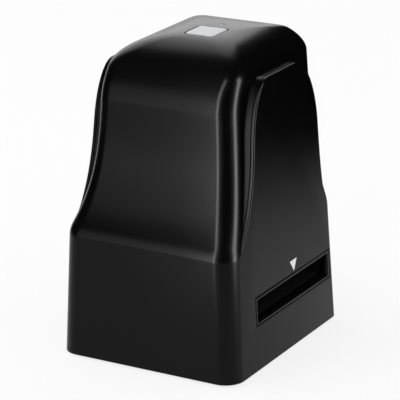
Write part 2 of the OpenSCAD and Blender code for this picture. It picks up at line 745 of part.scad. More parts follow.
module diffuser_plate() color("#f4f5f2") stand() {
    x = window_l / 2 + window_ledge - drop_in;
    y = window_w / 2 + window_ledge - drop_in;
    box(-x, x, slot_y - y, slot_y + y, lamp_top + seat, floor_z - 0.3);
}

// ---- camera over the film -----------------------------------------------------------------------
flange_x = hood_r + 1.6;
flange_y = hood_r - 6;
holder_r = barrel_d / 2 + 2.4;
sensor_post = 13;
flange_t = 2.4;
module optical_chassis() color("#252527") stand() {
    z0 = lid_top + seat;
    translate([0, slot_y, 0])
        difference() {
            union() {
                round_plate(2 * flange_x + 7, 2 * flange_y + 7, 3.5, z0, z0 + flange_t);
                rotate_extrude()
                    polygon([[0, z0], [hood_r, z0], [hood_r, z0 + 6], [holder_r, hood_top],
                        [holder_r, barrel_top],
                        [0, barrel_top]]);
                round_plate(2 * (sensor_post + board_edge), 2 * (sensor_post + board_edge), 2.5, flange_z,
                    barrel_top);
                for (sx = [-1, 1], sy = [-1, 1])
                    post(sx * sensor_post, sy * sensor_post, 2.2, flange_z, sensor_board_z - seat);
                // ribs from the hood up to the sensor's carrier
                for (a = [45:90:315])
                    rotate([90, 0, a])
                        translate([0, 0, -0.8])
                            linear_extrude(1.6)
                                polygon([[holder_r - 1, hood_top - web_h],
                                    [holder_r + web_w, hood_top - web_h],
                                    [sensor_post * 1.3, flange_z + eps], [holder_r - 1, flange_z + eps]]);
            }
            rotate_extrude()
                polygon([[0, z0 - 1], [hood_r - hood_wall, z0 - 1],
                    [hood_r - hood_wall, z0 + 6 - hood_wall / 2],
                    [barrel_d / 2 + 1.8, hood_top - 5], [barrel_d / 2 + 1.8, barrel_bottom + 3.4],
                    [barrel_d / 2 + run, barrel_bottom + 3.4], [barrel_d / 2 + run, barrel_top - 1.2],
                    [barrel_d / 2 + run, barrel_top + 1], [0, barrel_top + 1]]);
            for (sx = [-1, 1], sy = [-1, 1]) {
                post(sx * flange_x, sy * flange_y, small_free, z0 - 1, z0 + 4);
                post(sx * sensor_post, sy * sensor_post, small_pilot, sensor_board_z - small_screw_l,
                    sensor_board_z + 1);
            }
        }
}
module chassis_screws() color("#9a9da1") stand() {
    for (sx = [-1, 1], sy = [-1, 1])
        translate([sx * flange_x, slot_y + sy * flange_y, lid_top + flange_t + small_head_h + 2 * seat])
            rotate([180, 0, 0])
                small_screw(flange_t + 0.6 * lid_t);
}
module lens_barrel() color("#161617") stand() {
    translate([0, slot_y, 0])
        rotate_extrude()
            polygon([[barrel_d / 2 - 2.2, barrel_bottom], [barrel_d / 2 + 1.4, barrel_bottom],
                [barrel_d / 2 + 1.4, barrel_bottom + 3.2], [barrel_d / 2, barrel_bottom + 3.2],
                [barrel_d / 2, barrel_top - 0.6], [barrel_d / 2 - 0.6, barrel_top],
                [barrel_d / 2 - 1.6, barrel_top],
                [barrel_d / 2 - 1.6, barrel_top - 4.5], [barrel_d / 2 - 2.6, barrel_top - 4.5],
                [barrel_d / 2 - 2.6, barrel_bottom + 5.2], [barrel_d / 2 - 1.2, barrel_bottom + 5.2],
                [barrel_d / 2 - 1.2, barrel_bottom + 1], [barrel_d / 2 - 2.2, barrel_bottom + 1]]);
}
// biconvex lens with a flat rim
module lens(r, rim, bulge, z) {
    big = (r * r + bulge * bulge) / (2 * bulge);
    translate([0, slot_y, z])
        intersection() {
            cylinder(r = r, h = rim + 2 * bulge);
            translate([0, 0, big])
                sphere(r = big, $fn = 96);
            translate([0, 0, rim + 2 * bulge - big])
                sphere(r = big, $fn = 96);
        }
}
module lens_front_element() color("#a9c4d6", 0.6) stand() {
    lens(barrel_d / 2 - 1.2 - run, 1.2, 1, barrel_bottom + 1.2);
}
module lens_rear_element() color("#a9c4d6", 0.6) stand() {
    lens(barrel_d / 2 - 1.6 - run, 0.9, 0.7, barrel_top - 4.4);
}
module lens_retaining_ring() color("#3a3a3d") stand() {
    translate([0, slot_y, 0])
        difference() {
            post(0, 0, barrel_d / 2 - 1.6 - run, barrel_top - 1.9, barrel_top - 0.4);
            post(0, 0, barrel_d / 2 - 2.6, barrel_top - 3, barrel_top + 1);
        }
}
module infrared_filter() color("#8fb7c9", 0.7) stand() {
    box(-barrel_d / 2 - 1, barrel_d / 2 + 1, slot_y - barrel_d / 2 - 1, slot_y + barrel_d / 2 + 1,
        barrel_top + seat,
        barrel_top + 0.8);
}
module image_sensor() color("#3f444c") stand() {
    box(-sensor_w / 2, sensor_w / 2, slot_y - 0.46 * sensor_w, slot_y + 0.46 * sensor_w, sensor_z,
        sensor_board_z - seat);
}
module sensor_board() color("#1f5a35") stand() {
    translate([0, slot_y, 0])
        difference() {
            round_plate(2 * (sensor_post + board_edge), 2 * (sensor_post + board_edge), 1.5, sensor_board_z,
                sensor_board_z + board_t);
            for (sx = [-1, 1], sy = [-1, 1])
                post(sx * sensor_post, sy * sensor_post, small_free, sensor_board_z - 1,
                    sensor_board_z + board_t + 1);
        }
}
module sensor_screws() color("#9a9da1") stand() {
    for (sx = [-1, 1], sy = [-1, 1])
        translate([sx * sensor_post, slot_y + sy * sensor_post,
                sensor_board_z + board_t + small_head_h + seat])
            rotate([180, 0, 0])
                small_screw(small_screw_l);
}

// ---- main board ----------------------------------------------------------------------------------
board_front = leg_front - 2 * leg_d;
board_rear = wall_rear(board_top) - wall - 0.6;
module main_board() color("#1f5a35") stand() {
    difference() {
        box(-board_x, board_x, board_front, board_rear, board_z, board_top);
        leg_places()
            post(0, 0, gate_screw_d / 2 + free_hole, board_z - 1, board_top + 1);
        boss_places()
            post(0, 0, boss_r + 0.5, board_z - 1, board_top + 1);
    }
}
module main_processor() color("#242427") stand() {
    box(-chip_w / 2, chip_w / 2, leg_front + 1, leg_front + 1 + chip_w, board_top + seat, board_top + 1.4);
}
module memory_chip() color("#242427") stand() {
    box(chip_w / 2 + 4, chip_w / 2 + 4 + memory_l, leg_front + 3, leg_front + 3 + 0.8 * memory_l,
        board_top + seat,
        board_top + 1.2);
}
can_l = 10;
can_w = 4.4;
module crystal_can() color("#c9ccd0") stand() {
    translate([-chip_w / 2 - 9, leg_front + 7, 0])
        round_plate(can_l, can_w, can_w / 2 - 0.1, board_top + seat, board_top + 2.4);
}
inlet_y1 = wall_rear(board_top + inlet_h / 2) - 0.4;
inlet_z = board_top + seat;
module inlet_shell() color("#c9ccd0") stand() {
    difference() {
        translate([0, inlet_y1, inlet_z + inlet_h / 2])
            rotate([90, 0, 0])
                round_plate(inlet_w, inlet_h, 0.9, 0, inlet_l);
        translate([0, inlet_y1 + 1, inlet_z + inlet_h / 2])
            rotate([90, 0, 0])
                round_plate(inlet_w - 0.8, inlet_h - 0.8, 0.6, 0, inlet_l);
    }
}
module inlet_tongue() color("#151516") stand() {
    box(-inlet_w / 2 + 1.6, inlet_w / 2 - 1.6, inlet_y1 - inlet_l + 1 + seat, inlet_y1 - 1.2,
        inlet_z + inlet_h / 2 - 0.6, inlet_z + inlet_h / 2 + 0.6);
}
// flat cable from the sensor's board down the rear wall to the main board
cable_x = 15;
cable_t = 0.3;
cable_low = board_top + 2.2;
cable_y = wall_rear(board_top) - wall - 1;
function cable_path(t) = [
    [slot_y + sensor_post - 2, sensor_board_z + board_t + 1.4 + t],
    [wall_rear(sensor_board_z) - wall - 1.2 - 2, sensor_board_z + board_t + 1.4 + t],
    [wall_rear(sensor_board_z) - wall - 1.2 + t, sensor_board_z - 1],
    [wall_rear(board_top) - wall - 1.2 + t, board_top + 8],
    [wall_rear(board_top) - wall - 4 + t / 2, cable_low - t / 2],
    [leg_rear - 6, cable_low - t / 2]];
module sensor_cable() color("#e8e6dc") stand() {
    a = cable_path(cable_t / 2);
    b = cable_path(-cable_t / 2);
    n = len(a);
    translate([cable_x, 0, 0])
        along_x(concat(a, [for (i = [n - 1:-1:0]) b[i]]), cable_w / 2);
}
module cable_sockets() color("#f0efe8") stand() {
    x = cable_w / 2 + 1;
    y0 = slot_y + sensor_post - 2 - seat;
    y1 = leg_rear - 6 - seat;
    box(cable_x - x, cable_x + x, y0 - 3.5, y0, sensor_board_z + board_t + seat,
        sensor_board_z + board_t + 2.4);
    box(cable_x - x, cable_x + x, y1 - 4, y1, board_top + seat, board_top + 3);
}

// ---- button and light at the top -----------------------------------------------------------------
module scan_button() color("#c4c6c9") stand() {
    translate([0, button_y, 0]) {
        w = button_w + 2 * button_flange;
        round_plate(button_w, button_w, button_corner_r, cap_bottom + flange_h, body_h + button_proud);
        round_plate(w, w, button_corner_r, cap_bottom, cap_bottom + flange_h + eps);
    }
}
switch_w = 6;
switch_t = 3.4;
plunger_r = 1.75;
well_z = switch_board_top + 1.2;
module switch_body() color("#1c1c1e") stand() {
    translate([0, button_y, 0])
        difference() {
            box(-switch_w / 2, switch_w / 2, -switch_w / 2, switch_w / 2, switch_board_top + seat,
                switch_board_top + switch_t);
            post(0, 0, plunger_r + run, well_z, switch_board_top + switch_t + 1);
        }
}
module switch_plunger() color("#3a3a3d") stand() {
    post(0, button_y, plunger_r, well_z + button_travel + 0.1, cap_bottom - seat);
}
module button_board() color("#1f5a35") stand() {
    y0 = button_post_y - board_margin;
    y1 = light_y + board_margin;
    difference() {
        translate([0, (y0 + y1) / 2, 0])
            round_plate(2 * (button_post_x + board_edge), y1 - y0, 1.5, switch_board_z, switch_board_top);
        button_post_places()
            post(0, 0, small_free, switch_board_z - 1, switch_board_top + 1);
    }
}
module button_board_screws() color("#9a9da1") stand() {
    button_post_places()
        translate([0, 0, switch_board_z - small_head_h - seat])
            small_screw(small_screw_l);
}
module status_light() color("#d8e4dc") stand() {
    translate([0, light_y, switch_board_top + seat])
        rotate_extrude()
            polygon([[0, 0], [diode_r + diode_rim, 0], [diode_r + diode_rim, diode_r], [diode_r, diode_r],
                [diode_r, diode_h - 0.6], [diode_r - 0.3, diode_h - 0.2], [0, diode_h]]);
}
module light_pipe() color("#d9dcde", 0.6) stand() {
    translate([0, light_y, 0]) {
        post(0, 0, light_d / 2, switch_board_top + 2.9, body_h - 0.3);
        post(0, 0, light_d / 2 + 1, switch_board_top + 2.9, body_h - 4.6 - seat);
    }
}

// ---- pieces by name --------------------------------------------------------------------------------
main_housing();
side_cover_right();
side_cover_left();
slot_bezel_right();
slot_bezel_left();
base_plate();
foot_front_right();
foot_front_left();
foot_rear_right();
foot_rear_left();
base_screws();
gate_screws();
film_gate_lower();
film_gate_upper();
lid_screws();
click_ball();
click_spring();
lamp_box();
lamp_board();
lamp_diodes();
lamp_socket();
diffuser_plate();
optical_chassis();
chassis_screws();
lens_barrel();
lens_front_element();
lens_rear_element();
lens_retaining_ring();
infrared_filter();
image_sensor();
sensor_board();
sensor_screws();
main_board();
main_processor();
memory_chip();
crystal_can();
inlet_shell();
inlet_tongue();
sensor_cable();
cable_sockets();
scan_button();
switch_body();
switch_plunger();
button_board();
button_board_screws();
status_light();
light_pipe();
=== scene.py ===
import math

import bmesh
import bpy
from mathutils import Matrix, Vector


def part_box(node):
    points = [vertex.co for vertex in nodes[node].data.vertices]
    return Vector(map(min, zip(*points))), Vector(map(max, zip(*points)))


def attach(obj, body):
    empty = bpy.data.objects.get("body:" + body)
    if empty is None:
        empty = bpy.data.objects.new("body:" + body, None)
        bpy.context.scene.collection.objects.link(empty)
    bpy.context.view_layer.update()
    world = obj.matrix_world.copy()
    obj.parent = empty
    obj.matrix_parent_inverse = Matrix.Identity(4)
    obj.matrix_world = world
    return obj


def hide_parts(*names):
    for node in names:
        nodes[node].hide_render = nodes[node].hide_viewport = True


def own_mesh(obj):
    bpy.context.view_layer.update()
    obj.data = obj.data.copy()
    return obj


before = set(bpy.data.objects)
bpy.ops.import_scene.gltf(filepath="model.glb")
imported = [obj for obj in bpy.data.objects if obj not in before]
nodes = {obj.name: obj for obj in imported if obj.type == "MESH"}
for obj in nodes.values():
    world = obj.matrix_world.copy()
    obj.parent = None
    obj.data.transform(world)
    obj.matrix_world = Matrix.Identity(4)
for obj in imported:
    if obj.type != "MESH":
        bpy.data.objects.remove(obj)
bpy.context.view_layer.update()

# --- Camera --------------------------------------------------------------------------------------
# A long lens looks down at the front right corner from about a metre away. Sizes are written in
# millimetres, and heights from the housing's lower rim, which the feet carry 1 mm above the table.
MM = 0.001
FOOT_STAND = 1.0
ANGLE, PITCH, ROLL = math.radians(30.361), math.radians(18.848), math.radians(-0.9973)
# The focal length in pixels of the frame, a point inside the tower, and where it lies from the
# camera: to the right, up and ahead.
LENS_PIXELS, FRAME_PIXELS = 2278.02, 400
AIM = Vector((0, 0, 80 + FOOT_STAND))
OFFSET = (-1.1009, 15.4456, 1013.772)
slant, sink = math.cos(PITCH), math.sin(PITCH)
forward = Vector((-math.sin(ANGLE) * slant, math.cos(ANGLE) * slant, -sink))
level = Vector((math.cos(ANGLE), math.sin(ANGLE), 0))
upright = level.cross(forward)
right = math.cos(ROLL) * level + math.sin(ROLL) * upright
up = -math.sin(ROLL) * level + math.cos(ROLL) * upright
place = (AIM - OFFSET[0] * right - OFFSET[1] * up - OFFSET[2] * forward) * MM


def add_object(name, data):
    """Puts a new object that shows the data into the scene."""
    new = bpy.data.objects.new(name, data)
    bpy.context.scene.collection.objects.link(new)
    return new


lens = bpy.data.cameras.new("camera")
lens.sensor_width = 36
lens.lens = LENS_PIXELS / FRAME_PIXELS * lens.sensor_width
lens.clip_start, lens.clip_end = 0.05, 20
camera = add_object("camera", lens)
axes = Matrix((right, up, -forward)).transposed()
camera.matrix_world = Matrix.Translation(place) @ axes.to_4x4()
bpy.context.scene.camera = camera


# --- Main housing --------------------------------------------------------------------------------
# One ABS moulding: drafted base, shoulder, a concave sweep up to the tower and a domed top. A bell
# stands out on each side and carries a cover. The walls are 2 mm thick and hollow inside.
BASE_W, BASE_D, BODY_H = 90.0, 98.0, 139.2
DRAFT = math.tan(math.radians(2.46))
# Thickness of the wall and of a cover, and the cover's play in its pocket.
WALL, COVER_T, RUN = 2.0, 2.0, 0.05
SHOULDER_Z, SHOULDER_ROUND, SWEEP_H, SWEEP_POWER = 54.5, 5.5, 80.0, 4
FRONT_INSET, SIDE_INSET = 14.6, 5.8
FRONT_R, TOWER_R, REAR_R = 9.0, 8.0, 4.0
# The domed top: how far down it starts, and how far in it draws the sides, the front and the rear.
TOP_SIDE, TOP_FRONT, TOP_REAR = (11.9, 25.0), (26.2, 31.7), (3.0, 29.8)


def sweep(z):
    """Share of the inset that the walls have gained at a height: 0 in the base, 1 at the tower's top."""
    t = min(max(z - SHOULDER_Z, 0), SWEEP_H)
    start = SHOULDER_ROUND
    s = (t * t / (2 * start) if t < start else t - start / 2) / (SWEEP_H - start / 2)
    return 1 - (1 - min(max(s, 0), 1)) ** SWEEP_POWER


def dome(z, drop, reach):
    """How far the domed top has drawn a wall in at a height."""
    u = min(max((z - BODY_H + drop) / drop, 0), 1)
    return reach * (1 - math.sqrt(1 - u * u))


def face_x(z):
    """Place of the drafted side plane."""
    return BASE_W / 2 - DRAFT * z


def wall_front(z):
    """Place of the front wall under the domed top."""
    return -(BASE_D / 2 - DRAFT * z) + FRONT_INSET * sweep(z)


def wall_rear(z):
    """Place of the rear wall under the domed top."""
    return BASE_D / 2 - DRAFT * z


def rounded(corners, steps):
    """Outline through (centre a, centre b, radius, start angle) corners, as (a, b) points."""
    points = []
    for (ca, cb, r, start), count in zip(corners, steps):
        for i in range(count + 1):
            t = math.radians(start + 90 * i / count)
            points.append((ca + r * math.cos(t), cb + r * math.sin(t)))
    return points


def body_ring(shape_z, z, wall, front_steps, rear_steps):
    """Outline of the housing, or of its hollow where wall is set, anticlockwise from above."""
    x = face_x(shape_z) - SIDE_INSET * sweep(shape_z) - dome(shape_z, *TOP_SIDE) - wall
    if wall:
        x = min(x, face_x(shape_z) - COVER_T - wall)
    y0 = wall_front(shape_z) + dome(shape_z, *TOP_FRONT) + wall
    y1 = wall_rear(shape_z) - dome(shape_z, *TOP_REAR) - wall
    # A corner's radius stays a little under half the ring, which grows small at the very top.
    limit = min(x, (y1 - y0) / 2) * 0.96
    f = min(FRONT_R + (TOWER_R - FRONT_R) * sweep(shape_z) - wall, limit)
    r = min(REAR_R - wall, limit)
    corners = [(x - r, y1 - r, r, 0), (r - x, y1 - r, r, 90)]
    corners += [(f - x, y0 + f, f, 180), (x - f, y0 + f, f, 270)]
    steps = [rear_steps, rear_steps, front_steps, front_steps]
    return [(a, b, z) for a, b in rounded(corners, steps)]


def closed_skin(name, rings):
    """Mesh through a stack of rings with a cap at each end, in millimetres over the lower rim."""
    n, m = len(rings[0]), len(rings)
    points = [(x * MM, y * MM, (z + FOOT_STAND) * MM) for ring in rings for x, y, z in ring]
    faces = [
        (i * n + j, i * n + (j + 1) % n, (i + 1) * n + (j + 1) % n, (i + 1) * n + j)
        for i in range(m - 1)
        for j in range(n)
    ]
    faces += [tuple(range(n - 1, -1, -1)), tuple((m - 1) * n + j for j in range(n))]
    mesh = bpy.data.meshes.new(name)
    mesh.from_pydata(points, [], faces)
    shape = bmesh.new()
    shape.from_mesh(mesh)
    bmesh.ops.recalc_face_normals(shape, faces=shape.faces)
    shape.to_mesh(mesh)
    shape.free()
    return add_object(name, mesh)


def cut(piece, tool, how="DIFFERENCE"):
    """Cuts the tool out of the piece, or joins it on, and removes the tool."""
    work = piece.modifiers.new("cut", "BOOLEAN")
    work.operation, work.object, work.solver = how, tool, "EXACT"
    whole = piece.evaluated_get(bpy.context.evaluated_depsgraph_get())
    piece.data = bpy.data.meshes.new_from_object(whole)
    piece.modifiers.clear()
    bpy.data.objects.remove(tool)


def soften(piece, angle):
    """Smooth shading, with a crease wherever two faces meet at more than the angle."""
    piece.data.shade_smooth()
    piece.data.set_sharp_from_angle(angle=math.radians(angle))


def slab(name, a, b, half_a, half_b, r, spans, axis="z"):
    """Rounded rectangle about (a, b) through (place, growth) spans along an axis."""
    turns = {"z": lambda u, v, w: (u, v, w), "x": lambda u, v, w: (w, u, v), "y": lambda u, v, w: (u, w, v)}
    turn, corner_steps, same = turns[axis], 8, 1e-6
    rings = []
    for place, grow in spans:
        ha, hb, rr = half_a + grow, half_b + grow, r + grow
        corners = [(a + ha - rr, b + hb - rr, rr, 0), (a - ha + rr, b + hb - rr, rr, 90)]
        corners += [(a - ha + rr, b - hb + rr, rr, 180), (a + ha - rr, b - hb + rr, rr, 270)]
        flat = rounded(corners, [corner_steps] * 4)
        # Where a side is all corners, as on a round hole, the corners' ends would lie double.
        flat = [p for i, p in enumerate(flat) if math.dist(p, flat[i - 1]) > same]
        rings.append([turn(u, v, place) for u, v in flat])
    return closed_skin(name, rings)


# Rings stand closest where the sweep starts and where the top rounds over. Two of them nearly meet
# at the shoulder, so that its crease stays sharp.
BASE_RINGS, SWEEP_RINGS, TOP_RINGS, CORNER_STEPS = (18, 36), 56, 44, (18, 8)
CROWDING, CREASE = 1.35, 0.01
rise = BODY_H - TOP_FRONT[0] - SHOULDER_Z
heights = [0, *BASE_RINGS, SHOULDER_Z - CREASE]
heights += [SHOULDER_Z + rise * (i / SWEEP_RINGS) ** CROWDING for i in range(1, SWEEP_RINGS)]
turns = [math.radians(90 * i / TOP_RINGS) for i in range(TOP_RINGS + 1)]
heights += [BODY_H - TOP_FRONT[0] * (1 - math.sin(t)) for t in turns]
housing = closed_skin("housing", [body_ring(z, z, 0, *CORNER_STEPS) for z in heights])

# The bell in the plane of the side: from its front foot over the arch to its rear foot.
BELL_FRONT, BELL_REAR, BELL_REAR_STEP, STEP_RATE = FRONT_R + 0.4, REAR_R + 0.1, 3.0, 1.6
ARCH_Z, ARCH_FRONT, ARCH_REAR = BODY_H - 11.9, (13.5, 26.0), (17.5, 31.0)
CLIMB_STEPS, CLIMB_CROWDING, ARCH_STEPS, RIDGE_STEPS = 40, 1.3, 27, 12


def bell_front(z):
    """Front edge of the bell."""
    return wall_front(z) + BELL_FRONT


def bell_rear(z):
    """Rear edge of the bell, which steps in over the shoulder, and faster than the walls sweep."""
    ahead = min(BODY_H, SHOULDER_Z + STEP_RATE * (z - SHOULDER_Z))
    return wall_rear(z) - BELL_REAR - BELL_REAR_STEP * sweep(ahead)


def bell_outline(foot):
    """Points (y, z) of the bell and the way inwards at each."""
    rise = ARCH_Z - ARCH_REAR[1] - SHOULDER_Z
    climb = [foot, *BASE_RINGS, SHOULDER_Z - 1]
    climb += [SHOULDER_Z + rise * (i / CLIMB_STEPS) ** CLIMB_CROWDING for i in range(CLIMB_STEPS)]
    points = [(bell_front(z), z) for z in climb]
    for i in range(ARCH_STEPS + 1):
        t = math.radians(90 * i / ARCH_STEPS)
        z = ARCH_Z - ARCH_FRONT[1] * (1 - math.sin(t))
        points.append((bell_front(z) + ARCH_FRONT[0] * (1 - math.cos(t)), z))
    start, end = points[-1][0], bell_rear(ARCH_Z) - ARCH_REAR[0]
    points += [(start + (end - start) * i / RIDGE_STEPS, ARCH_Z) for i in range(1, RIDGE_STEPS)]
    for i in range(ARCH_STEPS + 1):
        t = math.radians(90 - 90 * i / ARCH_STEPS)
        z = ARCH_Z - ARCH_REAR[1] * (1 - math.sin(t))
        points.append((bell_rear(z) - ARCH_REAR[0] * (1 - math.cos(t)), z))
    points += [(bell_rear(z), z) for z in reversed(climb)]
    inwards = [(1.0, 0.0)]
    for before, after in zip(points[:-2], points[2:]):
        dy, dz = after[0] - before[0], after[1] - before[1]
        inwards.append((dz / math.hypot(dy, dz), -dy / math.hypot(dy, dz)))
    return list(zip(points, inwards + [(-1.0, 0.0)]))


def bell_ring(outline, side, shift, depth):
    """The bell moved inwards by shift, at a depth under the side plane. Either may change with height."""
    ring = []
    for (y, z), (ny, nz) in outline:
        s, d = (value(z) if callable(value) else value for value in (shift, depth))
        y, z = y + s * ny, z + s * nz
        ring.append((side * (face_x(z) - d), y, z))
    return ring


# The bell reaches into the tower and is hollow too. The cutting tools start outside the part.
BELL_DEPTH, BELL_HOLLOW_DEPTH, OUTSIDE, BELOW = 24, 22, 5, -1
HOLLOW_RINGS, HOLLOW_TOP_RINGS, HOLLOW_CORNER_STEPS = 16, 12, (8, 4)
deep, rim = bell_outline(BELOW), bell_outline(0)
for side in (1, -1):
    cut(housing, closed_skin("pocket", [bell_ring(deep, side, -RUN, d) for d in (-OUTSIDE, COVER_T)]))
    cut(housing, closed_skin("bell", [bell_ring(rim, side, 0, d) for d in (COVER_T, BELL_DEPTH)]), "UNION")
inner_top = BODY_H - WALL
step = (inner_top - TOP_FRONT[0] - SHOULDER_Z) / HOLLOW_RINGS
hollow = [(BELOW, BELOW)] + [(SHOULDER_Z + step * i,) * 2 for i in range(HOLLOW_RINGS)]
for i in range(HOLLOW_TOP_RINGS + 1):
    z = inner_top - TOP_FRONT[0] * (1 - math.sin(math.radians(90 * i / HOLLOW_TOP_RINGS)))
    hollow.append((z * BODY_H / inner_top, z))
rings = [body_ring(shape_z, z, WALL, *HOLLOW_CORNER_STEPS) for shape_z, z in hollow]
cut(housing, closed_skin("hollow", rings))
for side in (1, -1):
    rings = [bell_ring(deep, side, WALL, d) for d in (COVER_T + WALL, BELL_HOLLOW_DEPTH)]
    cut(housing, closed_skin("bell hollow", rings))

# Openings: each is as wide as its piece and a gap that shows as a dark line. A bezel is made 0.2 mm
# small all round, so its line is wider still. The top's openings have a small chamfer. Each tool
# reaches past the wall on both sides.
SLOT_Y, SLOT_Z, SLOT_W, SLOT_H = 8.2, 26.95, 66.0, 9.9
BEZEL_SIDE, BEZEL_TOP, BEZEL_GAP, BEZEL_R = 1.9, 1.6, 0.35, 0.5
BUTTON_Y, BUTTON_W, BUTTON_R, BUTTON_GAP = 10.0, 14.2, 1.6, 0.5
LIGHT_Y, LIGHT_D, LIGHT_GAP = 24.0, 2.4, 0.25
INLET_Z, INLET_W, INLET_H, INLET_GAP, INLET_R = 8.62, 7.7, 4.0, 0.4, 1.0
MOUTH_EDGE, OVER_TOP, TOP_INSIDE, REAR_INSIDE, FAR = 0.25, 0.35, 120, 43, 60
slot_half = (SLOT_W / 2 + BEZEL_SIDE + BEZEL_GAP, SLOT_H / 2 + BEZEL_TOP + BEZEL_GAP)
slot_hole = (*slot_half, BEZEL_R, [(-FAR, 0), (FAR, 0)])
cut(housing, slab("slot", SLOT_Y, SLOT_Z, *slot_hole, "x"))
mouth = [(TOP_INSIDE, 0), (BODY_H - MOUTH_EDGE, 0), (BODY_H + OVER_TOP, MOUTH_EDGE + OVER_TOP)]
cut(housing, slab("button hole", 0, BUTTON_Y, *[BUTTON_W / 2 + BUTTON_GAP] * 2, BUTTON_R + BUTTON_GAP, mouth))
cut(housing, slab("light hole", 0, LIGHT_Y, *[LIGHT_D / 2 + LIGHT_GAP] * 3, mouth))
inlet_hole = (INLET_W / 2 + INLET_GAP, INLET_H / 2 + INLET_GAP, INLET_R, [(REAR_INSIDE, 0), (FAR, 0)])
cut(housing, slab("inlet", 0, INLET_Z, *inlet_hole, "y"))
soften(housing, 32)


def linear(hex_colour):
    """sRGB hex value as the linear colour that a shader takes."""
    values = [int(hex_colour[i : i + 2], 16) / 255 for i in (0, 2, 4)]
    return [v / 12.92 if v <= 0.04045 else ((v + 0.055) / 1.055) ** 2.4 for v in values] + [1.0]


def add_node(tree, kind, settings=None, links=None):
    """Adds a node, sets its properties and sockets, and links its inputs. A number stands for the
    socket at that place, as where a node's names repeat."""
    new = tree.nodes.new(kind)
    for name, value in (settings or {}).items():
        if isinstance(name, int) or name in new.inputs:
            new.inputs[name].default_value = value
        else:
            setattr(new, name, value)
    for name, source in (links or {}).items():
        tree.links.new(source, new.inputs[name])
    return new


def empty_material(name):
    """A new material, and its node tree with nothing in it."""
    material = bpy.data.materials.new(name)
    material.use_nodes = True
    material.node_tree.nodes.clear()
    return material, material.node_tree


def plastic(name, colour, grain, roughness, relief, specular=0.5):
    """Moulded plastic: a grain of a size and depth in mm, and a gloss that drifts over 18 mm patches."""
    patch, drift = 18, 0.03
    material, tree = empty_material(name)
    place = add_node(tree, "ShaderNodeTexCoord").outputs["Object"]
    fine, broad = (
        add_node(tree, "ShaderNodeTexNoise", {"Scale": 1 / (size * MM), "Detail": detail}, {"Vector": place})
        for size, detail in ((grain, 3.0), (patch, 2.0))
    )
    ends = {3: roughness - drift, 4: roughness + drift}
    gloss = add_node(tree, "ShaderNodeMapRange", ends, {0: broad.outputs[0]})
    ends = {"data_type": "RGBA", 6: linear(colour[0]), 7: linear(colour[1])}
    tone = add_node(tree, "ShaderNodeMix", ends, {0: fine.outputs[0]})
    bump = add_node(tree, "ShaderNodeBump", {"Distance": relief * MM}, {"Height": fine.outputs[0]})
    links = {"Base Color": tone.outputs[2], "Roughness": gloss.outputs[0], "Normal": bump.outputs[0]}
    shader = add_node(tree, "ShaderNodeBsdfPrincipled", {"IOR": 1.5, "Specular IOR Level": specular}, links)
    add_node(tree, "ShaderNodeOutputMaterial", links={"Surface": shader.outputs[0]})
    return material


# Black ABS: a deep black under a satin skin that draws each lamp out into a soft streak. The
# grain is 0.25 mm wide and takes most of the gloss away, so the faces stay dark. The satin skin's
# roughness, depth of grain in mm and specular level:
SATIN = (0.25, 0.0015, 0.11)
housing_abs = plastic("ABS, moulded with a spark-eroded satin grain", ("040405", "070708"), 0.25, *SATIN)
housing.data.materials.clear()
housing.data.materials.append(housing_abs)
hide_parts("main_housing")
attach(housing, "unit")


# --- Scan button ---------------------------------------------------------------------------------
# A square ABS cap, moulded and sprayed in a fine silver lacquer. It stands a little proud in its
# opening with a dark gap all round, and its flange under the housing's top keeps it in.
BUTTON_PROUD, BUTTON_DEPTH, FLANGE, FLANGE_H = 0.2, 2.6, 1.2, 1.0
BUTTON_EDGE, BUTTON_EDGE_STEPS = 0.45, 8
top, low = BODY_H + BUTTON_PROUD, BODY_H - BUTTON_DEPTH
spans = [(low - FLANGE_H, FLANGE), (low, FLANGE), (low, 0)]
for i in range(BUTTON_EDGE_STEPS + 1):
    t = math.radians(90 * i / BUTTON_EDGE_STEPS)
    spans.append((top - BUTTON_EDGE * (1 - math.sin(t)), -BUTTON_EDGE * (1 - math.cos(t))))
button = slab("scan-button", 0, BUTTON_Y, BUTTON_W / 2, BUTTON_W / 2, BUTTON_R, spans)
soften(button, 35)
# Silver lacquer: pale grey with a fine aluminium flake that lifts it under the lamps.
lacquer = plastic("Silver lacquer, sprayed over ABS", ("bec0c3", "cdcfd2"), 0.12, 0.5, 0.002, 0.2)
button.data.materials.append(lacquer)
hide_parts("scan_button")
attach(button, "button")


def apply(piece):
    """Turns what the modifiers make into the piece's own mesh."""
    whole = piece.evaluated_get(bpy.context.evaluated_depsgraph_get())
    piece.data = bpy.data.meshes.new_from_object(whole)
    piece.modifiers.clear()


def refine(node, edge, finish, body="unit"):
    """Puts a merged copy with rounded edges and smooth faces in a CAD node's place."""
    mesh = nodes[node].data.copy()
    # Normals stored with the old faces would smear over the merged ones.
    if mesh.has_custom_normals:
        mesh.attributes.remove(mesh.attributes["custom_normal"])
    # Corners within a micrometre become one, and so do faces within half a degree.
    shape = bmesh.new()
    shape.from_mesh(mesh)
    bmesh.ops.remove_doubles(shape, verts=shape.verts, dist=0.001 * MM)
    bmesh.ops.dissolve_limit(shape, angle_limit=math.radians(0.5), verts=shape.verts, edges=shape.edges)
    shape.to_mesh(mesh)
    shape.free()
    piece = add_object(node.replace("_", "-"), mesh)
    if edge:
        rounding = piece.modifiers.new("edge", "BEVEL")
        rounding.width, rounding.segments, rounding.angle_limit = edge * MM, 2, math.radians(40)
        rounding.use_clamp_overlap = False
        apply(piece)
    soften(piece, 35)
    piece.data.materials.clear()
    piece.data.materials.append(finish)
    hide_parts(node)
    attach(piece, body)
    return piece


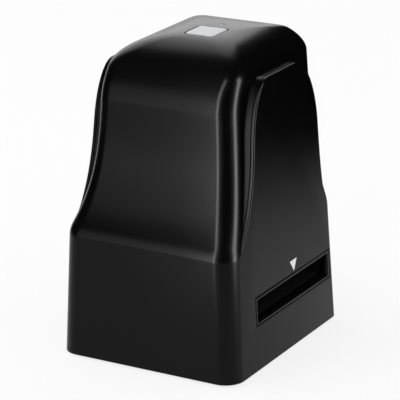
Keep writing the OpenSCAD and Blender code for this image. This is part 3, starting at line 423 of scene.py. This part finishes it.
def clear(name, colour, ior, roughness, haze):
    """Clear body with a trace of haze in 1.5 mm clouds, so that it reads as solid and not as air."""
    material, tree = empty_material(name)
    place = add_node(tree, "ShaderNodeTexCoord").outputs["Object"]
    cloud = add_node(tree, "ShaderNodeTexNoise", {"Scale": 1 / (1.5 * MM), "Detail": 2.0}, {"Vector": place})
    gloss = add_node(tree, "ShaderNodeMapRange", {3: roughness, 4: roughness + haze}, {0: cloud.outputs[0]})
    settings = {"Base Color": linear(colour), "IOR": ior, "Transmission Weight": 1.0}
    shader = add_node(tree, "ShaderNodeBsdfPrincipled", settings, {"Roughness": gloss.outputs[0]})
    add_node(tree, "ShaderNodeOutputMaterial", links={"Surface": shader.outputs[0]})
    return material


# Acrylic: clear, with a softly moulded end. Epoxy: water-clear with a slight green haze.
acrylic = clear("Acrylic, moulded clear", "eef1f2", 1.49, 0.12, 0.08)
epoxy = clear("Epoxy, cast clear over the diode", "e4efe6", 1.54, 0.08, 0.1)
refine("light_pipe", 0.1, acrylic)
refine("status_light", 0, epoxy)


# --- Button board --------------------------------------------------------------------------------
# A small glass-fibre board is screwed to four posts under the top. It carries the diode and a push
# switch, whose acetal plunger stands against the button.


def board(name, mask, copper, track):
    """Solder mask over etched copper on glass weave: the tracks, a pitch apart in mm, show lighter and
    stand 0.03 mm proud, and the weave's 0.3 mm threads show through a little."""
    material, tree = empty_material(name)
    place = add_node(tree, "ShaderNodeTexCoord").outputs["Object"]
    settings = {"feature": "DISTANCE_TO_EDGE", "Scale": 1 / (track * MM), "Randomness": 0.55}
    cell = add_node(tree, "ShaderNodeTexVoronoi", settings, {"Vector": place})
    line = add_node(tree, "ShaderNodeMapRange", {1: 0.1, 2: 0.06, 3: 0.0, 4: 1.0}, {0: cell.outputs[0]})
    weave = add_node(tree, "ShaderNodeTexNoise", {"Scale": 1 / (0.3 * MM), "Detail": 1.0}, {"Vector": place})
    shade = add_node(tree, "ShaderNodeMapRange", {3: 0.0, 4: 0.35}, {0: weave.outputs[0]})
    links = {0: line.outputs[0], 1: shade.outputs[0]}
    both = add_node(tree, "ShaderNodeMath", {"operation": "MAXIMUM"}, links)
    ends = {"data_type": "RGBA", 6: linear(mask), 7: linear(copper)}
    tone = add_node(tree, "ShaderNodeMix", ends, {0: both.outputs[0]})
    bump = add_node(tree, "ShaderNodeBump", {"Distance": 0.03 * MM}, {"Height": line.outputs[0]})
    links = {"Base Color": tone.outputs[2], "Normal": bump.outputs[0]}
    shader = add_node(tree, "ShaderNodeBsdfPrincipled", {"Roughness": 0.3, "IOR": 1.5}, links)
    add_node(tree, "ShaderNodeOutputMaterial", links={"Surface": shader.outputs[0]})
    return material


def metal(name, colour, roughness, grain, relief):
    """Bare or plated metal: its last working leaves marks of a size and depth in mm and an uneven gloss."""
    material, tree = empty_material(name)
    place = add_node(tree, "ShaderNodeTexCoord").outputs["Object"]
    fine = add_node(tree, "ShaderNodeTexNoise", {"Scale": 1 / (grain * MM), "Detail": 4.0}, {"Vector": place})
    ends = {3: roughness * 0.7, 4: roughness * 1.3}
    gloss = add_node(tree, "ShaderNodeMapRange", ends, {0: fine.outputs[0]})
    ends = {"data_type": "RGBA", 6: linear(colour[0]), 7: linear(colour[1])}
    tone = add_node(tree, "ShaderNodeMix", ends, {0: fine.outputs[0]})
    bump = add_node(tree, "ShaderNodeBump", {"Distance": relief * MM}, {"Height": fine.outputs[0]})
    links = {"Base Color": tone.outputs[2], "Roughness": gloss.outputs[0], "Normal": bump.outputs[0]}
    shader = add_node(tree, "ShaderNodeBsdfPrincipled", {"Metallic": 1.0}, links)
    add_node(tree, "ShaderNodeOutputMaterial", links={"Surface": shader.outputs[0]})
    return material


def shape_tree(name, inputs):
    """A Geometry Nodes tree with a named input for each size or material, and their identifiers."""
    tree = bpy.data.node_groups.new(name, "GeometryNodeTree")
    for way in ("INPUT", "OUTPUT"):
        tree.interface.new_socket("Geometry", in_out=way, socket_type="NodeSocketGeometry")
    found = {}
    for label in inputs:
        kind = "NodeSocketMaterial" if label == "Finish" else "NodeSocketFloat"
        found[label] = tree.interface.new_socket(label, in_out="INPUT", socket_type=kind).identifier
    return tree, found


def measures(tree, shares):
    """A socket for each named measure, which is a share of one of the tree's inputs."""
    given = add_node(tree, "NodeGroupInput").outputs
    found = {socket.name: socket for socket in given if socket.name}
    for name, source, share in shares:
        settings = {"operation": "MULTIPLY", 1: share}
        found[name] = add_node(tree, "ShaderNodeMath", settings, {0: given[source]}).outputs[0]
    return found


def lifted(tree, shape, height):
    """The shape moved up by a height that a socket gives."""
    up = add_node(tree, "ShaderNodeCombineXYZ", links={2: height}).outputs[0]
    return add_node(tree, "GeometryNodeTransform", links={"Geometry": shape, "Translation": up}).outputs[0]


# Screws: a head with a chamfer and a cross recess, a core and a thread wound on it. The tree sets one
# on each point of a mesh, with the head down, or up where it is turned. Every measure of a screw is
# a share of one of the inputs.
SCREW_INPUTS = ("Head diameter", "Head height", "Shank diameter", "Length", "Pitch", "Turn", "Finish")
SCREW_SHARES = (
    ("head radius", "Head diameter", 0.5),
    ("rim radius", "Head diameter", 0.41),
    ("chamfer height", "Head height", 0.34),
    ("disc height", "Head height", 0.7),
    ("disc middle", "Head height", 0.65),
    ("recess length", "Head diameter", 0.55),
    ("recess width", "Head diameter", 0.12),
    ("recess height", "Head height", 1.2),
    ("core radius", "Shank diameter", 0.39),
    ("half length", "Length", 0.5),
    ("thread radius", "Shank diameter", 0.42),
    ("ridge radius", "Shank diameter", 0.08),
    ("thread length", "Length", 0.9),
    ("run-out", "Length", 0.03),
    ("tilt", "Turn", math.pi),
)
screw_tree, screw_inputs = shape_tree("screws", SCREW_INPUTS)
tree, size = screw_tree, measures(screw_tree, SCREW_SHARES)
links = {"Radius Top": size["head radius"], "Radius Bottom": size["rim radius"]}
links |= {"Depth": size["chamfer height"]}
chamfer = add_node(tree, "GeometryNodeMeshCone", {"Vertices": 40}, links).outputs[0]
links = {"Radius": size["head radius"], "Depth": size["disc height"]}
disc = add_node(tree, "GeometryNodeMeshCylinder", {"Vertices": 40}, links).outputs[0]
head = add_node(tree, "GeometryNodeMeshBoolean", {"operation": "UNION"}, {"Mesh 2": chamfer})
tree.links.new(lifted(tree, disc, size["disc middle"]), head.inputs["Mesh 2"])
cross = add_node(tree, "GeometryNodeMeshBoolean", {"operation": "DIFFERENCE"}, {"Mesh 1": head.outputs[0]})
for across, along in (("recess length", "recess width"), ("recess width", "recess length")):
    sides = {0: size[across], 1: size[along], 2: size["recess height"]}
    sides = add_node(tree, "ShaderNodeCombineXYZ", links=sides).outputs[0]
    bar = add_node(tree, "GeometryNodeMeshCube", links={0: sides}).outputs[0]
    tree.links.new(bar, cross.inputs["Mesh 2"])
links = {"Radius": size["core radius"], "Depth": size["Length"]}
core = add_node(tree, "GeometryNodeMeshCylinder", {"Vertices": 20}, links).outputs[0]
links = {0: size["thread length"], 1: size["Pitch"]}
turns = add_node(tree, "ShaderNodeMath", {"operation": "DIVIDE"}, links).outputs[0]
links = {"Rotations": turns, "Height": size["thread length"]}
links |= {"Start Radius": size["thread radius"], "End Radius": size["thread radius"]}
coil = add_node(tree, "GeometryNodeCurveSpiral", {"Resolution": 16}, links).outputs[0]
links = {"Radius": size["ridge radius"]}
ridge = add_node(tree, "GeometryNodeCurvePrimitiveCircle", {"Resolution": 4}, links).outputs[0]
links = {"Curve": coil, "Profile Curve": ridge}
thread = add_node(tree, "GeometryNodeCurveToMesh", {"Fill Caps": True}, links).outputs[0]
whole = add_node(tree, "GeometryNodeJoinGeometry", links={0: cross.outputs[0]})
for shape, start in ((core, "half length"), (thread, "run-out")):
    links = {0: size["Head height"], 1: size[start]}
    start = add_node(tree, "ShaderNodeMath", {"operation": "ADD"}, links).outputs[0]
    tree.links.new(lifted(tree, shape, start), whole.inputs[0])
over = add_node(tree, "ShaderNodeCombineXYZ", links={0: size["tilt"]}).outputs[0]
links = {"Points": size["Geometry"], "Instance": whole.outputs[0], "Rotation": over}
set_out = add_node(tree, "GeometryNodeInstanceOnPoints", links=links).outputs[0]
real = add_node(tree, "GeometryNodeRealizeInstances", links={0: set_out}).outputs[0]
links = {"Geometry": real, "Material": size["Finish"]}
real = add_node(tree, "GeometryNodeSetMaterial", links=links).outputs[0]
add_node(tree, "NodeGroupOutput", links={0: real})

# Zinc plate: a pale, slightly cloudy grey with soft highlights.
zinc = metal("Steel screw, rolled and zinc plated", ("a9adb2", "c3c6c9"), 0.34, 0.6, 0.002)


def screws(node, head_d, head_h, shank_d, pitch, head_up=False):
    """Screws at the corners of their CAD node's box, as many as it holds."""
    low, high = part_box(node)
    r = head_d * MM / 2
    height = high[2] if head_up else low[2]
    # Rounded to 0.1 mm, the places of screws in one row fall together.
    xs, ys = (sorted({round(low[i] + r, 4), round(high[i] - r, 4)}) for i in (0, 1))
    mesh = bpy.data.meshes.new(node)
    mesh.from_pydata([(x, y, height) for x in xs for y in ys], [], [])
    piece = add_object(node.replace("_", "-"), mesh)
    build = piece.modifiers.new("screws", "NODES")
    build.node_group = screw_tree
    length = high[2] - low[2] - head_h * MM
    sizes = (head_d * MM, head_h * MM, shank_d * MM, length, pitch * MM, float(head_up), zinc)
    for label, value in zip(SCREW_INPUTS, sizes):
        build[screw_inputs[label]] = value
    apply(piece)
    soften(piece, 35)
    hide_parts(node)
    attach(piece, "unit")


# Head diameter and height, shank diameter and pitch.
SMALL_SCREW = (3.4, 1.2, 1.56, 0.6)
screws("button_board_screws", *SMALL_SCREW)
# Glass-fibre board: green solder mask with the tracks showing through it, 1.6 mm apart.
fibre = board("Glass-fibre board, green solder mask", "14452a", "2b7044", 1.6)
refine("button_board", 0.1, fibre)
# PBT: a hard, slightly glossy black. Acetal: waxy and smoother.
pbt = plastic("PBT, moulded black", ("101012", "18181a"), 0.15, 0.42, 0.001)
acetal = plastic("Acetal, moulded black", ("202022", "2a2a2c"), 0.15, 0.3, 0.0005)
refine("switch_body", 0.12, pbt)
refine("switch_plunger", 0.1, acetal, "plunger")


# --- Lens ----------------------------------------------------------------------------------------
# Two glass elements sit in a turned aluminium barrel, held by a threaded ring. A filter plate that
# stops infrared light lies over the barrel, under the image sensor.
# Anodised aluminium: near black, with a gloss that turning has left a little uneven.
anodised = metal("Aluminium, turned and black anodised", ("161618", "242427"), 0.36, 0.18, 0.002)
# Coated glass: clear, with the faint cool tint of its coating. Filter glass: pale cyan.
coated_glass = clear("Optical glass, ground and coated", "dfe9f2", 1.52, 0.0, 0.02)
filter_glass = clear("Filter glass, pale cyan", "b6dfe6", 1.53, 0.0, 0.02)
refine("lens_barrel", 0, anodised)
refine("lens_front_element", 0, coated_glass)
refine("lens_rear_element", 0, coated_glass)
refine("lens_retaining_ring", 0, anodised)
refine("infrared_filter", 0.1, filter_glass)


# --- Optical chassis -----------------------------------------------------------------------------
# A hood and lens holder in one piece, moulded in glass-filled polycarbonate. It is matt black inside
# and out, so that stray light dies in it, and four screws hold it on the film gate.
# Filled polycarbonate: dull black with a dry, slightly rough skin.
filled_name = "Polycarbonate with glass fibre, moulded matt black"
filled = plastic(filled_name, ("0b0b0c", "131314"), 0.3, 0.62, 0.008, 0.3)
refine("optical_chassis", 0, filled)
screws("chassis_screws", *SMALL_SCREW, True)


# --- Image sensor --------------------------------------------------------------------------------
# The sensor looks down through the lens. Its board is screwed on the chassis, and a flat cable runs
# from it down the rear wall to the main board.
refine("sensor_board", 0.1, fibre)
screws("sensor_screws", *SMALL_SCREW, True)
# Sensor: a grey ceramic frame round a dark window tinted blue and violet, whose wave bands between the two
# are a painted shimmer of its cells.
SENSOR_WINDOW = (9.2, 8.0)
sensor_look = plastic("Ceramic sensor with a glass window", ("6e6f70", "7b7c7d"), 0.2, 0.4, 0.001)
tree = sensor_look.node_tree
shader = tree.nodes["Principled BSDF"]
ceramic = shader.inputs["Base Color"].links[0].from_socket
place = add_node(tree, "ShaderNodeTexCoord").outputs["Object"]
centred = add_node(tree, "ShaderNodeMapping", {"Location": (0, -SLOT_Y * MM, 0)}, {"Vector": place})
off = add_node(tree, "ShaderNodeSeparateXYZ", links={0: centred.outputs[0]}).outputs
inside = []
for i, wide in enumerate(SENSOR_WINDOW):
    settings = {"operation": "COMPARE", 1: 0.0, 2: wide / 2 * MM}
    inside.append(add_node(tree, "ShaderNodeMath", settings, {0: off[i]}).outputs[0])
window = add_node(tree, "ShaderNodeMath", {"operation": "MULTIPLY"}, {0: inside[0], 1: inside[1]})
# Wave bands 1.6 mm wide mix blue and violet over the window: a painted shimmer laid on the cells' own dark
# tint.
painted_shimmer = add_node(tree, "ShaderNodeTexWave", {"Scale": 1 / (1.6 * MM), "Distortion": 1.0}, {"Vector": place})
ends = {"data_type": "RGBA", 6: linear("1b2740"), 7: linear("34264a")}
tint_and_painted_shimmer = add_node(tree, "ShaderNodeMix", ends, {0: painted_shimmer.outputs[1]}).outputs[2]
both = add_node(tree, "ShaderNodeMix", {"data_type": "RGBA"}, {0: window.outputs[0], 6: ceramic, 7: tint_and_painted_shimmer})
tree.links.new(both.outputs[2], shader.inputs["Base Color"])
refine("image_sensor", 0.12, sensor_look)


def striped(name, ground, stripe, pitch, share, roughness):
    """Flat plastic with parallel conductors along it, a pitch apart across x."""
    material = plastic(name, (ground, ground), 0.4, roughness, 0.001)
    tree = material.node_tree
    shader = tree.nodes["Principled BSDF"]
    place = add_node(tree, "ShaderNodeTexCoord").outputs["Object"]
    across = add_node(tree, "ShaderNodeSeparateXYZ", links={0: place}).outputs[0]
    step = add_node(tree, "ShaderNodeMath", {"operation": "PINGPONG", 1: pitch * MM / 2}, {0: across})
    settings = {1: share * pitch * MM / 2, 2: (share + 0.1) * pitch * MM / 2, 3: 1.0, 4: 0.0}
    line = add_node(tree, "ShaderNodeMapRange", settings, {0: step.outputs[0]})
    ends = {"data_type": "RGBA", 6: linear(ground), 7: linear(stripe)}
    tone = add_node(tree, "ShaderNodeMix", ends, {0: line.outputs[0]})
    tree.links.new(tone.outputs[2], shader.inputs["Base Color"])
    return material


# Flat cable: milky polyester film over tinned copper conductors at 1 mm. Nylon: warm white, waxy.
film = striped("Polyester film over flat conductors", "e4e1d6", "b9bcc0", 1.0, 0.55, 0.35)
nylon = plastic("Nylon, moulded natural", ("e9e6da", "f1efe6"), 0.3, 0.45, 0.002)
refine("sensor_cable", 0, film)
refine("cable_sockets", 0.15, nylon)


# --- Film gate -----------------------------------------------------------------------------------
# Two mouldings in matt black ABS make the tunnel that the film holder slides through. The upper one
# hooks over the lower at the rear and is screwed down in front. A sprung ball clicks into the holder.
# Matt ABS: plain black with a coarse dry grain.
matt_abs = plastic("ABS, moulded matt black", ("060607", "0a0a0b"), 0.3, 0.55, 0.005, 0.2)
refine("film_gate_lower", 0, matt_abs)
refine("film_gate_upper", 0, matt_abs)
screws("lid_screws", *SMALL_SCREW, True)
# Bearing steel: polished bright. Spring wire: drawn, so a little duller.
bearing = metal("Bearing steel, ground and polished", ("c6c8cb", "d0d2d5"), 0.12, 0.8, 0.0)
wire = metal("Spring steel, drawn wire", ("9da1a6", "b4b7bb"), 0.3, 0.2, 0.002)
refine("click_ball", 0, bearing, "ball")
spring = refine("click_spring", 0, wire)
# The spring's lowest and highest corners are read from its box, and it gets a mesh of its own.
foot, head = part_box("click_spring")
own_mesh(spring)


# --- Lamp ----------------------------------------------------------------------------------------
# A white box under the gate holds a board with fifteen white diodes. A plate of opal acrylic over it
# spreads their light evenly behind the film.
# White ABS: full-bodied white, softly glossy, to send light upwards.
white_abs = plastic("ABS, moulded white", ("e2e3e0", "ecedea"), 0.3, 0.4, 0.002)
white_mask = board("Aluminium board, white solder mask", "e3e5e0", "f0f1ee", 2.4)
# Opal acrylic: white filler makes it milky and even.
opal = plastic("Acrylic, cast opal", ("eff0ee", "f6f7f5"), 0.6, 0.22, 0.0005)
refine("lamp_box", 0.3, white_abs)
refine("lamp_board", 0.1, white_mask)
refine("lamp_socket", 0.2, nylon)
refine("diffuser_plate", 0.15, opal)

# Diodes: a white package with a dome of yellow phosphor, set out on a grid by Geometry Nodes.
phosphor = plastic("Phosphor in silicone, cast yellow", ("e3cf62", "f0de83"), 0.1, 0.35, 0.002)
package = plastic("Diode package, moulded white", ("e9e9e4", "f2f2ee"), 0.2, 0.4, 0.001)
PACKAGE_L, PACKAGE_W, DOME_R, COLUMNS, ROWS = 3.4, 2.8, 1.1, 5, 3
DIODE_INPUTS = ("Length", "Width", "Height", "Dome radius", "Step x", "Step y")
DIODE_SHARES = (
    ("grid length", "Step x", COLUMNS - 1),
    ("grid width", "Step y", ROWS - 1),
    ("body height", "Height", 0.8),
    ("body middle", "Height", 0.4),
    ("dome height", "Height", 0.3),
    ("dome middle", "Height", 0.7),
)
tree, diode_inputs = shape_tree("diodes", DIODE_INPUTS)
size = measures(tree, DIODE_SHARES)
links = {"Size X": size["grid length"], "Size Y": size["grid width"]}
grid = add_node(tree, "GeometryNodeMeshGrid", {"Vertices X": COLUMNS, "Vertices Y": ROWS}, links).outputs[0]
sides = {0: size["Length"], 1: size["Width"], 2: size["body height"]}
sides = add_node(tree, "ShaderNodeCombineXYZ", links=sides).outputs[0]
body = add_node(tree, "GeometryNodeMeshCube", links={0: sides}).outputs[0]
body = lifted(tree, body, size["body middle"])
body = add_node(tree, "GeometryNodeSetMaterial", {"Material": package}, {"Geometry": body}).outputs[0]
links = {"Radius": size["Dome radius"]}
cap = add_node(tree, "GeometryNodeMeshUVSphere", {"Segments": 24, "Rings": 12}, links).outputs[0]
links = {0: size["dome height"], 1: size["Dome radius"]}
rise = add_node(tree, "ShaderNodeMath", {"operation": "DIVIDE"}, links).outputs[0]
flat = add_node(tree, "ShaderNodeCombineXYZ", {0: 1.0, 1: 1.0}, {2: rise}).outputs[0]
cap = add_node(tree, "GeometryNodeTransform", links={"Geometry": cap, "Scale": flat}).outputs[0]
cap = lifted(tree, cap, size["dome middle"])
cap = add_node(tree, "GeometryNodeSetMaterial", {"Material": phosphor}, {"Geometry": cap}).outputs[0]
whole = add_node(tree, "GeometryNodeJoinGeometry", links={0: body})
tree.links.new(cap, whole.inputs[0])
links = {"Points": grid, "Instance": whole.outputs[0]}
placed = add_node(tree, "GeometryNodeInstanceOnPoints", links=links).outputs[0]
low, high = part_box("lamp_diodes")
at = tuple((low[i] + high[i]) / 2 for i in (0, 1)) + (low[2],)
placed = add_node(tree, "GeometryNodeTransform", {"Translation": at}, {"Geometry": placed}).outputs[0]
real = add_node(tree, "GeometryNodeRealizeInstances", links={0: placed}).outputs[0]
add_node(tree, "NodeGroupOutput", links={0: real})
diodes = add_object("lamp-diodes", bpy.data.meshes.new("lamp-diodes"))
build = diodes.modifiers.new("diodes", "NODES")
build.node_group = tree
step_x = (high[0] - low[0] - PACKAGE_L * MM) / (COLUMNS - 1)
step_y = (high[1] - low[1] - PACKAGE_W * MM) / (ROWS - 1)
sizes = (PACKAGE_L * MM, PACKAGE_W * MM, high[2] - low[2], DOME_R * MM, step_x, step_y)
for label, value in zip(DIODE_INPUTS, sizes):
    build[diode_inputs[label]] = value
apply(diodes)
soften(diodes, 35)
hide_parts("lamp_diodes")
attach(diodes, "unit")


# --- Main board ----------------------------------------------------------------------------------
# The board stands on four legs of the base plate. It carries the processor, the memory, a crystal in
# a drawn can and the inlet at the rear.
# Epoxy moulding compound: dull charcoal with a fine even tooth. Nickel: warm grey and bright.
compound = plastic("Epoxy chip body, moulded", ("1a1a1c", "222224"), 0.12, 0.5, 0.003)
nickel = metal("Steel, drawn and nickel plated", ("b8b4ab", "cac6bd"), 0.26, 0.5, 0.001)
refine("main_board", 0.1, fibre)
refine("main_processor", 0.15, compound)
refine("memory_chip", 0.15, compound)
refine("crystal_can", 0.3, nickel)


# --- Inlet ---------------------------------------------------------------------------------------
# The lead plugs in at the rear. A folded, nickel-plated shell stands round a black tongue that
# carries the gilt contacts.
# Tongue: liquid-crystal polymer, dull black, with gold-plated contacts 0.5 mm apart.
tongue = striped("Black polymer with gilt contacts", "121214", "c9a34e", 0.5, 0.5, 0.4)
refine("inlet_shell", 0.08, nickel)
refine("inlet_tongue", 0.1, tongue)


# --- Base plate ----------------------------------------------------------------------------------
# A flat ABS plate closes the housing from below. Four screws in its corners go up into the housing's
# bosses, and four more go up through its legs and the board into the film gate's legs.
# The plate's underside has a coarser grain than the housing, because nobody sees it in use.
plate_abs = plastic("ABS, moulded with a coarse grain", ("0e0e10", "161618"), 0.45, 0.5, 0.012, 0.3)
refine("base_plate", 0, plate_abs)
BASE_SCREW, GATE_SCREW = (5.412, 1.58, 2.46, 1.0), (4.6008, 1.58, 2.16, 0.9)
screws("base_screws", *BASE_SCREW)
screws("gate_screws", *GATE_SCREW)


# --- Feet ----------------------------------------------------------------------------------------
# Four round pads of moulded rubber are glued in shallow seats of the base plate. They hold the
# housing's rim 1 mm off the table.
# Rubber: deep matt black that takes a little grey dust on its tooth.
rubber = plastic("Rubber, moulded", ("0f0f10", "1c1c1d"), 0.35, 0.8, 0.01, 0.3)
for place in ("front_right", "front_left", "rear_right", "rear_left"):
    refine("foot_" + place, 0.1, rubber)


# --- Side covers ---------------------------------------------------------------------------------
# A thin ABS plate on each side, snapped in with four pegs. It lies flush in the base and stands free
# beside the tower, with a rounded edge over a narrow shadow groove.
COVER_EDGE, COVER_EDGE_STEPS, GROOVE_W, GROOVE_FLAT, GROOVE_D, SEAT = 0.7, 8, 0.5, 0.8, 0.6, 0.02
# SEAT is the play behind the cover. The groove starts over the shoulder and deepens up to its full
# size, and in the base the cover's edge keeps a small share of its rounding.
FREE_START, FREE_RISE, LEAST_EDGE = 2, 7, 0.15


def free(z):
    """How far the cover stands free at a height: 0 in the base, 1 beside the tower."""
    return min(max((z - SHOULDER_Z - FREE_START) / FREE_RISE, 0), 1)


def edge_share(z):
    """Share of the edge's full rounding at a height."""
    return max(free(z), LEAST_EDGE)


# The cover's grain is a little finer than the housing's, so the two part by a shade.
cover_abs = plastic("ABS cover, moulded with a fine satin grain", ("040405", "070708"), 0.2, *SATIN)
back = COVER_T - SEAT
for side, node in ((1, "side_cover_right"), (-1, "side_cover_left")):
    groove = (back, back - GROOVE_FLAT * GROOVE_W)
    rings = [bell_ring(rim, side, lambda z: GROOVE_D * free(z), d) for d in groove]
    rings.append(bell_ring(rim, side, 0, back - GROOVE_W))
    for i in range(COVER_EDGE_STEPS + 1):
        t = math.radians(90 * i / COVER_EDGE_STEPS)
        inwards, sunk = COVER_EDGE * (1 - math.cos(t)), COVER_EDGE * (1 - math.sin(t))
        rings.append(bell_ring(rim, side, lambda z: inwards * edge_share(z), lambda z: sunk * edge_share(z)))
    cover = closed_skin(node.replace("_", "-"), rings)
    cut(cover, slab("slot", SLOT_Y, SLOT_Z, *slot_hole, "x"))
    soften(cover, 32)
    cover.data.materials.clear()
    cover.data.materials.append(cover_abs)
    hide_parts(node)
    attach(cover, "unit")


# --- Insertion mark ------------------------------------------------------------------------------
# A white triangle, pad-printed on the right cover, points down at the slot where the film holder
# goes in. The ink is thin and matt.
MARK = ((5.7, 39.7), (12.0, 39.8), (9.1, 34.5))
INK_T, INK_BITE = 0.03, 0.005
rings = [[(face_x(z) + h, y, z) for y, z in MARK] for h in (-INK_BITE, INK_T)]
mark = closed_skin("mark", rings)
# Pad-printing ink: opaque white with a faint eggshell tooth.
ink = plastic("Ink, pad printed in white", ("f2f2f0", "ffffff"), 0.15, 0.55, 0.002)
mark.data.materials.append(ink)
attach(mark, "unit")


# --- Slot bezels ---------------------------------------------------------------------------------
# A frame in each side leads the film holder into the gate. It is moulded in the housing's black ABS
# and sits in its opening with a narrow dark gap all round.
# Bezel ABS: as black as the housing, with a slightly softer shine.
bezel_abs = plastic("ABS frame, moulded satin", ("060607", "0a0a0b"), 0.2, 0.28, 0.0015, 0.11)
for side in ("right", "left"):
    refine("slot_bezel_" + side, 0.2, bezel_abs)


# --- Studio --------------------------------------------------------------------------------------
# White paper under an even sky, with one large softbox overhead. Two strips and two wide panels show
# only in reflections and draw the highlights on the black plastic. Black flags keep the rest dark.
FLOOR_COLOUR, AMBIENT, BACKGROUND, FLOOR_HALF = "fafafa", 0.72, 0.8, 5
corners = [(x * FLOOR_HALF, y * FLOOR_HALF, 0) for x, y in ((-1, -1), (1, -1), (1, 1), (-1, 1))]
sheet = bpy.data.meshes.new("floor")
sheet.from_pydata(corners, [], [(0, 1, 2, 3)])
floor = add_object("floor", sheet)
# Uncoated paper: matt white. To the camera and in reflections most of it is plain white.
paper, tree = empty_material("Paper, uncoated white")
ray = add_node(tree, "ShaderNodeLightPath").outputs
seen = ray["Is Camera Ray"]
for kind in ("Is Glossy Ray", "Is Transmission Ray"):
    seen = add_node(tree, "ShaderNodeMath", {"operation": "MAXIMUM"}, {0: seen, 1: ray[kind]}).outputs[0]
share = add_node(tree, "ShaderNodeMath", {"operation": "MULTIPLY", 1: BACKGROUND}, {0: seen}).outputs[0]
matt = add_node(tree, "ShaderNodeBsdfDiffuse", {"Color": linear(FLOOR_COLOUR)}).outputs[0]
white = add_node(tree, "ShaderNodeEmission", {"Strength": 1.0}).outputs[0]
both = add_node(tree, "ShaderNodeMixShader", links={0: share, 1: matt, 2: white})
add_node(tree, "ShaderNodeOutputMaterial", links={"Surface": both.outputs[0]})
sheet.materials.append(paper)

# The sky is even, for soft light. To the camera it is white, and reflections see a pale horizon that
# darkens to a black ceiling.
HORIZON, HORIZON_TOP = 0.8, 0.35
world = bpy.data.worlds.new("studio")
bpy.context.scene.world = world
world.use_nodes = True
tree = world.node_tree
tree.nodes.clear()
ray = add_node(tree, "ShaderNodeLightPath").outputs
where = add_node(tree, "ShaderNodeTexCoord").outputs["Generated"]
height = add_node(tree, "ShaderNodeSeparateXYZ", links={0: where}).outputs[2]
settings = {1: 0.0, 2: HORIZON_TOP, 3: HORIZON, 4: 0.0}
wall = add_node(tree, "ShaderNodeMapRange", settings, {0: height}).outputs[0]
links = {0: ray["Is Glossy Ray"], 1: ray["Is Transmission Ray"]}
mirrored = add_node(tree, "ShaderNodeMath", {"operation": "MAXIMUM"}, links)
power = add_node(tree, "ShaderNodeMix", {2: AMBIENT}, {0: mirrored.outputs[0], 3: wall})
power = add_node(tree, "ShaderNodeMix", {3: 1.0}, {0: ray["Is Camera Ray"], 2: power.outputs[0]})
sky = add_node(tree, "ShaderNodeBackground", {0: (1, 1, 1, 1)}, {1: power.outputs[0]})
add_node(tree, "ShaderNodeOutputWorld", links={"Surface": sky.outputs[0]})


def panel_light(name, place, turn, wide, tall, glow):
    """Rectangular softbox whose face has the given brightness, where 1 is white."""
    lamp = bpy.data.lights.new(name, "AREA")
    lamp.shape, lamp.size, lamp.size_y = "RECTANGLE", wide, tall
    lamp.energy = glow * math.pi * wide * tall
    softbox = add_object(name, lamp)
    softbox.location, softbox.rotation_euler = place, turn
    softbox.visible_camera = False
    return softbox


overhead_turn = (math.radians(15), math.radians(-18), 0)
overhead = panel_light("overhead", (-0.5, -0.3, 1.6), overhead_turn, 1.2, 1.2, 2.0)
overhead.visible_glossy = False
# Panels: direction from the object in degrees, distance, width, lower and upper edge, brightness.
PANELS = (
    ("panel-left", 229, 0.9, 0.62, 0.04, 0.58, 1.36),
    ("strip-left", 261, 0.3, 0.045, 0.0, 0.9, 27.0),
    ("strip-right", 1, 0.3, 0.085, 0.0, 0.5, 21.0),
    ("panel-rear", 129, 0.6, 0.62, 0.2, 0.95, 2.0),
)
for name, azimuth, distance, wide, low, high, glow in PANELS:
    turn = math.radians(azimuth)
    place = (distance * math.cos(turn), distance * math.sin(turn), (low + high) / 2)
    strip = panel_light(name, place, (math.radians(90), 0, turn + math.radians(90)), wide, high - low, glow)
    strip.visible_diffuse = False

# Black scrim: velvet that gives nothing back, thinned out towards the floor over its lowest 50 mm.
scrim, tree = empty_material("Velvet scrim, black")
where = add_node(tree, "ShaderNodeTexCoord").outputs["Object"]
height = add_node(tree, "ShaderNodeSeparateXYZ", links={0: where}).outputs[2]
dense = add_node(tree, "ShaderNodeMapRange", {1: 0.0, 2: 0.05, 3: 0.0, 4: 1.0}, {0: height}).outputs[0]
open_part = add_node(tree, "ShaderNodeBsdfTransparent").outputs[0]
velvet = add_node(tree, "ShaderNodeBsdfDiffuse", {"Color": linear("020202")}).outputs[0]
mixed = add_node(tree, "ShaderNodeMixShader", links={0: dense, 1: open_part, 2: velvet})
add_node(tree, "ShaderNodeOutputMaterial", links={"Surface": mixed.outputs[0]})
# The flags stand where only reflections see them: direction, distance, width and height.
FLAGS = (
    ("flag-right", 58, 0.2, 0.45, 0.7),
    ("flag-front", 311, 0.27, 0.24, 0.7),
    ("flag-left", 197, 0.26, 0.3, 0.3),
)
for name, azimuth, distance, wide, tall in FLAGS:
    turn = math.radians(azimuth)
    across = Vector((-math.sin(turn), math.cos(turn), 0))
    middle = Vector((math.cos(turn), math.sin(turn), 0)) * distance
    ends = ((-1, 0), (1, 0), (1, tall), (-1, tall))
    corners = [middle + across * s * wide / 2 + Vector((0, 0, h)) for s, h in ends]
    cloth = bpy.data.meshes.new(name)
    cloth.from_pydata(corners, [], [(0, 1, 2, 3)])
    cloth.materials.append(scrim)
    card = add_object(name, cloth)
    card.visible_camera = card.visible_diffuse = card.visible_shadow = card.visible_transmission = False

bpy.context.scene.view_settings.view_transform = "Standard"
